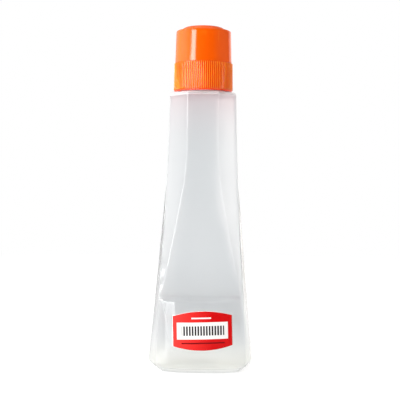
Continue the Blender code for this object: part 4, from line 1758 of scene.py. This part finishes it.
# ---------------------------------------------------------------- the screw cap
@dataclass(frozen=True)
class Cap:
    """The ribbed screw cap with its raised disc, inside thread and soft washer."""

    ribs: int = 90
    rib_proud: float = 0.00047
    rib_foot: Span = (0.0004, 0.0009)
    rib_head: Span = (0.0005, 0.00003)
    rib_marks: tuple[float, ...] = (0.15, 0.17, 0.29, 0.31)
    rib_levels: tuple[float, ...] = (1.0, 0.94, 0.04, 0.0)
    column_marks: tuple[float, ...] = (0.19, 0.33, 0.65, 0.79)
    column_pair: float = 0.02
    bottom: float = 0.1452
    band_top: float = 0.1602
    top: float = 0.1791
    crown: float = 0.1787
    bore: float = 0.0133
    skirt_radius: float = 0.0150
    band_radius: float = 0.0148
    rim_radius: float = 0.0143
    lip_edge: float = 0.0003
    rim_drop: float = 0.0023
    rim_ease: float = 0.0007
    ledge_rise: float = 0.00015
    plateau_foot: float = 0.0117
    plateau_edge: float = 0.0112
    plateau_edge_drop: float = 0.0009
    plateau_top: float = 0.0097
    plateau_bends: tuple[float, float, float] = (0.0003, 0.0004, 0.0006)
    outer_step: float = 0.0015
    inner_step: float = 0.00065
    ceiling_chamfer: Span = (0.0022, 0.0025)
    ceiling_bend: float = 0.0005
    wall: float = 0.0016
    shelf_bore: float = 0.0122
    shelf_bottom: float = 0.1630
    shelf_top: float = 0.1642
    shelf_slope: float = 0.0006
    shelf_bend: float = 0.0003
    shelf_ease: float = 0.0002
    ceiling: float = 0.1774
    thread_start: float = 0.0036
    thread_turns: float = 1.4
    thread_height: float = 0.0013
    ribbed_from: float = 0.0005
    seal_bore: float = 0.0113
    seal_radius: float = 0.0130
    seal_bottom: float = 0.1615
    seal_top: float = 0.1627
    seal_bend: float = 0.0003
    seal_columns: int = 144
    # On the ribs, worn is also a painted highlight on the crests, and root is a painted shade in the roots.
    plastic: MouldedPlastic = MouldedPlastic(
        "orange_polypropylene", colour=(0.90, 0.104, 0.001), shade=(0.87, 0.096, 0.001),
        worn=(1.0, 0.33, 0.016), roughness=(0.09, 0.15), wear_share=0.2, root=(0.97, 0.058, 0.0005),
        crest_radius=0.01547, crest_draft=0.0133, crest_foot=0.1452, crest_top=0.1602)
    liner: SoftFoam = SoftFoam("liner_foam", (0.80, 0.80, 0.77), (0.68, 0.68, 0.65),
                               cell_scale=3000.0, depth=0.00003)

    def outer_profile(self) -> Array:
        """The outside from the lip up the skirt, over the rim and its ledge to the plateau and the axis.

        Returns:
            Array of points by 2.
        """
        rim = self.top - self.rim_drop
        edge = self.lip_edge
        foot_bend, edge_bend, top_bend = self.plateau_bends
        slope = (self.skirt_radius - self.band_radius) / (self.band_top - self.bottom)
        corners = [
            (self.bore + edge, self.bottom, 0.0), (self.skirt_radius, self.bottom, edge),
            *((self.skirt_radius - slope * (level - self.bottom), level, 0.0) for level in self.rib_ends),
            (self.band_radius, self.band_top, 0.0), (self.rim_radius, rim, self.rim_ease),
            (self.plateau_foot, rim + self.ledge_rise, foot_bend),
            (self.plateau_edge, self.crown - self.plateau_edge_drop, edge_bend),
            (self.plateau_top, self.crown, top_bend), (0.0, self.crown, 0.0),
        ]
        return softened(corners, False, self.outer_step)

    def inner_profile(self) -> Array:
        """The inside from the axis under the ceiling, down past the shelf and the thread to the lip.

        Returns:
            Array of points by 2.
        """
        room = self.rim_radius - self.wall
        across, down = self.ceiling_chamfer
        corners = [
            (0.0, self.ceiling, 0.0), (room - across, self.ceiling, self.ceiling_bend),
            (room, self.ceiling - down, self.ceiling_bend),
            (room, self.shelf_top + self.shelf_slope, self.shelf_bend),
            (self.shelf_bore, self.shelf_top, self.shelf_ease),
            (self.shelf_bore, self.shelf_bottom, self.shelf_ease),
            (self.bore, self.shelf_bottom, self.shelf_bend), (self.bore, self.bottom + self.lip_edge, 0.0),
        ]
        return softened(corners, False, self.inner_step)

    @property
    def rib_ends(self) -> tuple[float, float, float, float]:
        """Heights where the ribs start, stand full, start to run out, and end."""
        foot, head = self.rib_foot, self.rib_head
        return self.bottom + foot[0], self.bottom + foot[1], self.band_top - head[0], self.band_top - head[1]

    def rib_angles(self) -> Array:
        """Columns of the skirt: eight to a rib, in pairs at the edges of its crest and of its root."""
        marks = np.array(self.column_marks)
        shares = np.sort(np.concatenate([marks, marks + self.column_pair]))
        return (np.arange(self.ribs)[:, None] + shares).ravel() * math.tau / self.ribs

    def rib_relief(self, profile: Array, angles: Array) -> Array:
        """Height of the ribs: a trapezium round the skirt with sloping ends.

        Args:
            profile: The outside's points.
            angles: The columns.

        Returns:
            Array of points by columns.
        """
        share = (angles * self.ribs / math.tau) % 1.0
        shape = np.interp(np.abs(share - 0.5), self.rib_marks, self.rib_levels)
        outside = profile[:, 0] > self.bore + self.ribbed_from
        full = np.interp(profile[:, 1], self.rib_ends, (0.0, 1.0, 1.0, 0.0)) * outside
        return self.rib_proud * full[:, None] * shape[None]

    def build(self, effects: Effects) -> list[Piece]:
        """The cap in one closed surface, and its washer.

        Args:
            effects: The shared node groups.

        Returns:
            The finished pieces.
        """
        angles = self.rib_angles()
        inside, outside = self.inner_profile(), self.outer_profile()
        thread = Thread(self.bottom + self.thread_start, self.thread_turns, self.thread_height)
        threaded = thread.relief(angles, inside[:, 1]) * (inside[:, :1] > self.bore - HAIR)
        relief = np.vstack([-threaded, self.rib_relief(outside, angles)])
        shell = lathed(np.vstack([inside, outside]), len(angles), False, relief, angles).piece("cap_moulding")
        bend = self.seal_bend
        corners = [(self.seal_bore, self.seal_bottom, bend), (self.seal_radius, self.seal_bottom, bend),
                   (self.seal_radius, self.seal_top, bend), (self.seal_bore, self.seal_top, bend)]
        washer = lathed(softened(corners, True, bend), self.seal_columns, True).piece("liner_washer")
        return [
            dressed(shell, self.plastic.make(effects), Body.CAP, Slot.CAP, "cap_shell"),
            dressed(washer, self.liner.make(effects), Body.CARRIAGE, Slot.SEAL, "cap_seal"),
        ]


# ---------------------------------------------------------------- the studio
@dataclass(frozen=True)
class Lamp:
    """A rectangular soft lamp aimed at the part."""

    name: str
    azimuth: float
    elevation: float
    distance: float
    width: float
    tall: float
    power: float
    colour: Colour = WHITE
    gloss: bool = True

    def hang(self, aim: Array) -> Piece:
        """Places the lamp: azimuth 0 is in front of the part and 90 at its right, in degrees.

        Args:
            aim: The point that it is turned to.

        Returns:
            The lamp.
        """
        turn, lift = math.radians(self.azimuth), math.radians(self.elevation)
        way = np.array((math.sin(turn) * math.cos(lift), -math.cos(turn) * math.cos(lift), math.sin(lift)))
        data = bpy.data.lights.new(self.name, "AREA")
        data.shape = "RECTANGLE"
        data.size, data.size_y = self.width, self.tall
        data.energy, data.color = self.power, self.colour
        lamp = bpy.data.objects.new(self.name, data)
        bpy.context.scene.collection.objects.link(lamp)
        rise = Matrix.Rotation(0.5 * math.pi - lift, 4, "X")
        lamp.matrix_world = (Matrix.Translation(aim + way * self.distance)
                             @ Matrix.Rotation(turn, 4, "Z") @ rise)
        lamp.visible_camera = False
        lamp.visible_transmission = False
        lamp.visible_glossy = self.gloss
        return lamp


@dataclass(frozen=True)
class Studio:
    """Pale floor, white surroundings, soft lamps and the camera.

    Lengths are in metres and a slant is sideways metres per metre ahead. The room gives, by azimuth in
    degrees, how bright the gloss finds the walls. What shows through the frosted plastic is dimmed straight
    ahead, and each side of that dimmed strip leans out with the distance of the floor behind it.
    """

    focal: float = 81.0
    sensor: float = 36.0
    clip_start: float = 0.01
    camera_distance: float = 0.474
    camera_height: float = 0.1012
    camera_aside: float = -0.0011
    pitch: float = math.radians(1.525)
    roll: float = math.radians(0.6)
    white: float = 1.0
    ambient: float = 0.05
    back_light: float = 0.90
    back_edges: Span = (-0.10, 0.60)
    ahead_edges: Span = (0.0, 0.3)
    ceiling: float = 0.18
    ceiling_edges: Span = (0.30, 0.85)
    room: tuple[tuple[float, float], ...] = (
        (-180.0, 0.25), (-168.0, 0.25), (-154.0, 0.75), (-110.0, 1.00), (-78.0, 1.00), (-66.0, 0.70),
        (-54.0, 0.40), (-46.0, 0.12), (-30.0, 0.02), (40.0, 0.02), (58.0, 0.12), (76.0, 0.18), (96.0, 0.18),
        (112.0, 0.14), (146.0, 0.14), (152.0, 0.70), (158.0, 0.80), (165.0, 0.30), (180.0, 0.25),
    )
    floor_half: float = 2.5
    floor_points: int = 9
    floor_paint: Colour = (0.80, 0.80, 0.79)
    near_paint: Colour = (0.42, 0.42, 0.42)
    near_glow: Colour = (0.68, 0.68, 0.68)
    paint_edges: Span = (0.15, 0.70)
    floor_shade: float = 0.12
    shade_start: Span = (0.05, 0.11)
    shade_end: Span = (0.30, 0.60)
    sheen_roughness: float = 0.06
    sheen_index: float = 1.5
    dimmed: Colour = (0.67, 0.698, 0.715)
    right_edges: Span = (0.014, 0.030)
    left_edges: Span = (-0.036, -0.012)
    left_white: float = 0.60
    close_edges: Span = (0.50, 0.60)
    close_white: float = 0.60
    near_lean: float = 0.0306
    far_lean: float = 0.0103
    left_near_lean: float = 0.0155
    left_far_lean: float = 0.0052
    lamps: tuple[Lamp, ...] = (
        Lamp("strip_lamp", -42.5, 13.5, 0.9, 0.28, 0.30, 3.3),
        Lamp("crease_window", -53.5, 7.0, 0.9, 0.12, 0.25, 0.7),
        Lamp("low_window", -30.2, -3.8, 0.9, 0.24, 0.055, 0.50),
        Lamp("tall_window", -30.2, 1.3, 0.9, 0.24, 0.10, 0.72),
        Lamp("left_fill", -108.0, 12.0, 0.9, 1.0, 1.1, 6.5, gloss=False),
        Lamp("side_left_fill", -88.0, 10.0, 0.9, 0.6, 1.0, 10.5, gloss=False),
        Lamp("front_left_fill", -70.0, 12.0, 0.9, 0.6, 1.0, 3.0, gloss=False),
        Lamp("front_right_fill", 65.0, 42.0, 0.9, 0.6, 1.0, 1.4, (1.0, 0.97, 0.92), gloss=False),
        Lamp("right_fill", 88.0, 40.0, 0.9, 0.6, 1.0, 3.1, (1.0, 0.97, 0.92), gloss=False),
        Lamp("rear_softbox", 150.0, 10.0, 0.9, 0.7, 1.0, 2.0, (1.0, 0.95, 0.86)),
        Lamp("top_softbox", 0.0, 84.0, 1.0, 0.8, 0.8, 1.8),
    )

    def floor(self) -> Piece:
        """A pale floor that shows white round the part and keeps its shadow.

        Returns:
            The floor.
        """
        grid = np.linspace(-self.floor_half, self.floor_half, self.floor_points)
        x, y = np.meshgrid(grid, grid)
        skin = Skin(np.stack([x, y, np.zeros_like(x)], axis=-1), columns_close=False)
        piece = skin.piece("studio_floor")
        piece.data.materials.append(self.floor_finish())
        return piece

    def floor_finish(self) -> Material:
        """The floor's material: one look for light that bounces, one to look at, and one through plastic.

        Returns:
            The material.
        """
        made, board = bare_material("studio_floor")
        place = board.place()
        distance = board.length(place)
        path = board.put("ShaderNodeLightPath")
        plain = board.wired("ShaderNodeBsdfDiffuse", Color=self.floor_paint)
        seen = self.polished(board, self.whitened(board, distance), path.outputs["Is Glossy Ray"])
        direct = board.maths("MAXIMUM", path.outputs["Is Camera Ray"], path.outputs["Is Glossy Ray"])
        mix = self.both(board, "ShaderNodeMixShader", direct, plain, seen)
        through = self.seen_through(board, place, distance)
        mix = self.both(board, "ShaderNodeMixShader", path.outputs["Is Transmission Ray"], mix, through)
        board.wired("ShaderNodeOutputMaterial", Surface=mix.outputs[0])
        return made

    def whitened(self, board: Board, distance: Socket) -> Node:
        """The floor to look at: shaded paint with a glow near the part, and plain white further off.

        Args:
            board: The board of the material.
            distance: How far the place is from the middle.

        Returns:
            The shader.
        """
        far = board.spread(distance, *self.paint_edges)
        pale = board.wired("ShaderNodeBsdfDiffuse", Color=board.blend(far, self.near_paint, BLACK))
        glow = board.wired("ShaderNodeEmission", Color=board.blend(far, self.near_glow, WHITE),
                           Strength=self.white)
        return self.both(board, "ShaderNodeAddShader", None, pale, glow)

    def polished(self, board: Board, seen: Node, glossy: Socket) -> Node:
        """The same floor, which mirrors the room at a low angle where a gloss reflects it.

        Args:
            board: The board of the material.
            seen: The shader under the gloss.
            glossy: One for a glossy ray.

        Returns:
            The shader.
        """
        sheen = board.wired("ShaderNodeBsdfAnisotropic", Roughness=self.sheen_roughness)
        skim = board.wired("ShaderNodeFresnel", IOR=self.sheen_index)
        share = board.times(skim.outputs[0], glossy)
        return self.both(board, "ShaderNodeMixShader", share, seen, sheen)

    def seen_through(self, board: Board, place: Socket, distance: Socket) -> Node:
        """The floor as it shows through the part: the backdrop's colours, and a dim ring round the foot.

        A place's slant is x / d, with d its distance ahead of the camera's stand. Each side of the dimmed
        strip moves by a near lean over d less a far lean.

        Args:
            board: The board of the material.
            place: The place on the floor.
            distance: Its distance from the middle.

        Returns:
            The shader.
        """
        x, y, _ = board.parts(place)
        reach = board.maths("ADD", y, self.camera_distance)
        slant = board.maths("DIVIDE", x, reach)
        nearness = board.maths("DIVIDE", 1.0, reach)
        right_lean = board.maths("MULTIPLY_ADD", nearness, -self.near_lean, self.far_lean)
        left_lean = board.maths("MULTIPLY_ADD", nearness, self.left_near_lean, -self.left_far_lean)
        leaning = (board.maths("ADD", slant, lean) for lean in (left_lean, right_lean))
        fan = self.backdrop(board, *leaning)
        close = board.spread(reach, *self.close_edges, self.close_white, 0.0)
        ring = board.times(board.spread(distance, *self.shade_start, 0.0, self.floor_shade),
                           board.spread(distance, *self.shade_end, 1.0, 0.0))
        return board.wired("ShaderNodeEmission", Color=board.blend(close, fan, WHITE),
                           Strength=board.maths("MULTIPLY_ADD", ring, -self.white, self.white))

    def backdrop(self, board: Board, left_slant: Socket, right_slant: Socket) -> Socket:
        """Colour of what shows through the part, by the slant of its place to either side.

        Dimmer and cooler straight ahead, white towards the right and a little brighter at the left.

        Args:
            board: The board that the colour is made on.
            left_slant: The slant that the left side goes by.
            right_slant: The slant that the right side goes by.

        Returns:
            The colour.
        """
        right = board.spread(right_slant, *self.right_edges)
        left = board.spread(left_slant, *self.left_edges, self.left_white, 0.0)
        return board.blend(board.maths("MAXIMUM", right, left), self.dimmed, WHITE)

    @staticmethod
    def both(board: Board, kind: str, share: Optional[Socket], first: Node, second: Node) -> Node:
        """Two shaders added, or mixed by a share.

        Args:
            board: The board of the material.
            kind: Type of the node.
            share: How far it is from the first to the second.
            first: The first shader.
            second: The second shader.

        Returns:
            The shader of both.
        """
        node = board.put(kind)
        if share is not None:
            board.feed(node.inputs[0], share)
        offset = len(node.inputs) - 2
        board.feed(node.inputs[offset], first.outputs[0])
        board.feed(node.inputs[offset + 1], second.outputs[0])
        return node

    def world(self) -> None:
        """White surroundings to look at, and a soft light from behind; the gloss finds the room's own walls.

        Through the part, the half of the surroundings behind it shows the backdrop, and the rest is white.
        """
        world = bpy.data.worlds.new("studio_world")
        bpy.context.scene.world = world
        world.use_nodes = True
        world.node_tree.nodes.clear()
        board = Board(world.node_tree)
        path = board.put("ShaderNodeLightPath")
        x, y, z = board.parts(board.put("ShaderNodeTexCoord").outputs["Generated"])
        azimuth = board.maths("ARCTAN2", x, board.times(y, -1.0))
        around = self.walls(board, board.maths("MULTIPLY_ADD", azimuth, 1.0 / math.tau, 0.5))
        overhead = board.spread(z, *self.ceiling_edges, 0.0, self.ceiling)
        room = board.maths("MAXIMUM", around, overhead)
        glossy = board.times(path.outputs["Is Glossy Ray"], room)
        direct = board.maths("MAXIMUM", path.outputs["Is Camera Ray"], path.outputs["Is Transmission Ray"])
        plain = board.maths("SUBTRACT", 1.0, board.maths("MAXIMUM", direct, path.outputs["Is Glossy Ray"]))
        shown = board.times(board.maths("MAXIMUM", direct, glossy), self.white)
        slant = board.maths("DIVIDE", x, y)
        ahead = board.spread(y, *self.ahead_edges)
        through_part = board.times(path.outputs["Is Transmission Ray"], ahead)
        colour = board.blend(through_part, WHITE, self.backdrop(board, slant, slant))
        behind = board.spread(y, *self.back_edges, self.ambient, self.ambient + self.back_light)
        level = board.maths("ADD", shown, board.times(plain, behind))
        back = board.wired("ShaderNodeBackground", Color=colour, Strength=level)
        board.wired("ShaderNodeOutputWorld", Surface=back.outputs[0])

    def walls(self, board: Board, turn: Socket) -> Socket:
        """How bright the gloss finds the room all round: the room's marks joined by straight lines.

        Args:
            board: The board of the material.
            turn: The turn round the part, from 0 to 1.

        Returns:
            The brightness.
        """
        node = board.put("ShaderNodeValToRGB")
        stops = node.color_ramp.elements
        while len(stops) < len(self.room):
            stops.new(0.5)
        for stop, (azimuth, level) in zip(stops, self.room):
            stop.position = 0.5 + azimuth / 360.0
            stop.color = (level, level, level, 1.0)
        board.feed(node.inputs["Fac"], turn)
        return node.outputs["Color"]

    def camera(self) -> None:
        """The camera in front, slightly rolled and tipped down."""
        data = bpy.data.cameras.new("studio_camera")
        data.lens = self.focal
        data.sensor_width = self.sensor
        data.clip_start = self.clip_start
        camera = bpy.data.objects.new("studio_camera", data)
        bpy.context.scene.collection.objects.link(camera)
        tip = Matrix.Rotation(0.5 * math.pi - self.pitch, 4, "X")
        spot = Matrix.Translation((self.camera_aside, -self.camera_distance, self.camera_height))
        camera.matrix_world = spot @ tip @ Matrix.Rotation(self.roll, 4, "Z")
        bpy.context.scene.camera = camera

    def build(self, aim: Array) -> None:
        """Sets the whole studio up, with its lamps aimed at a point.

        Args:
            aim: The point.
        """
        self.camera()
        self.floor()
        self.world()
        for lamp in self.lamps:
            lamp.hang(aim)
        bpy.context.scene.view_settings.view_transform = "Standard"


def main() -> None:
    """Builds the studio and every piece."""
    logging.basicConfig(level=logging.INFO)
    effects = Effects()
    bottle = Bottle()
    Studio().build(0.5 * (np.array(CAD_BOX[0]) + np.array(CAD_BOX[1])))
    bottle.build(effects)
    Label().build(bottle, effects)
    Head().build(effects)
    Tip().build(effects)
    Cap().build(effects)


if __name__ == "__main__":
    main()
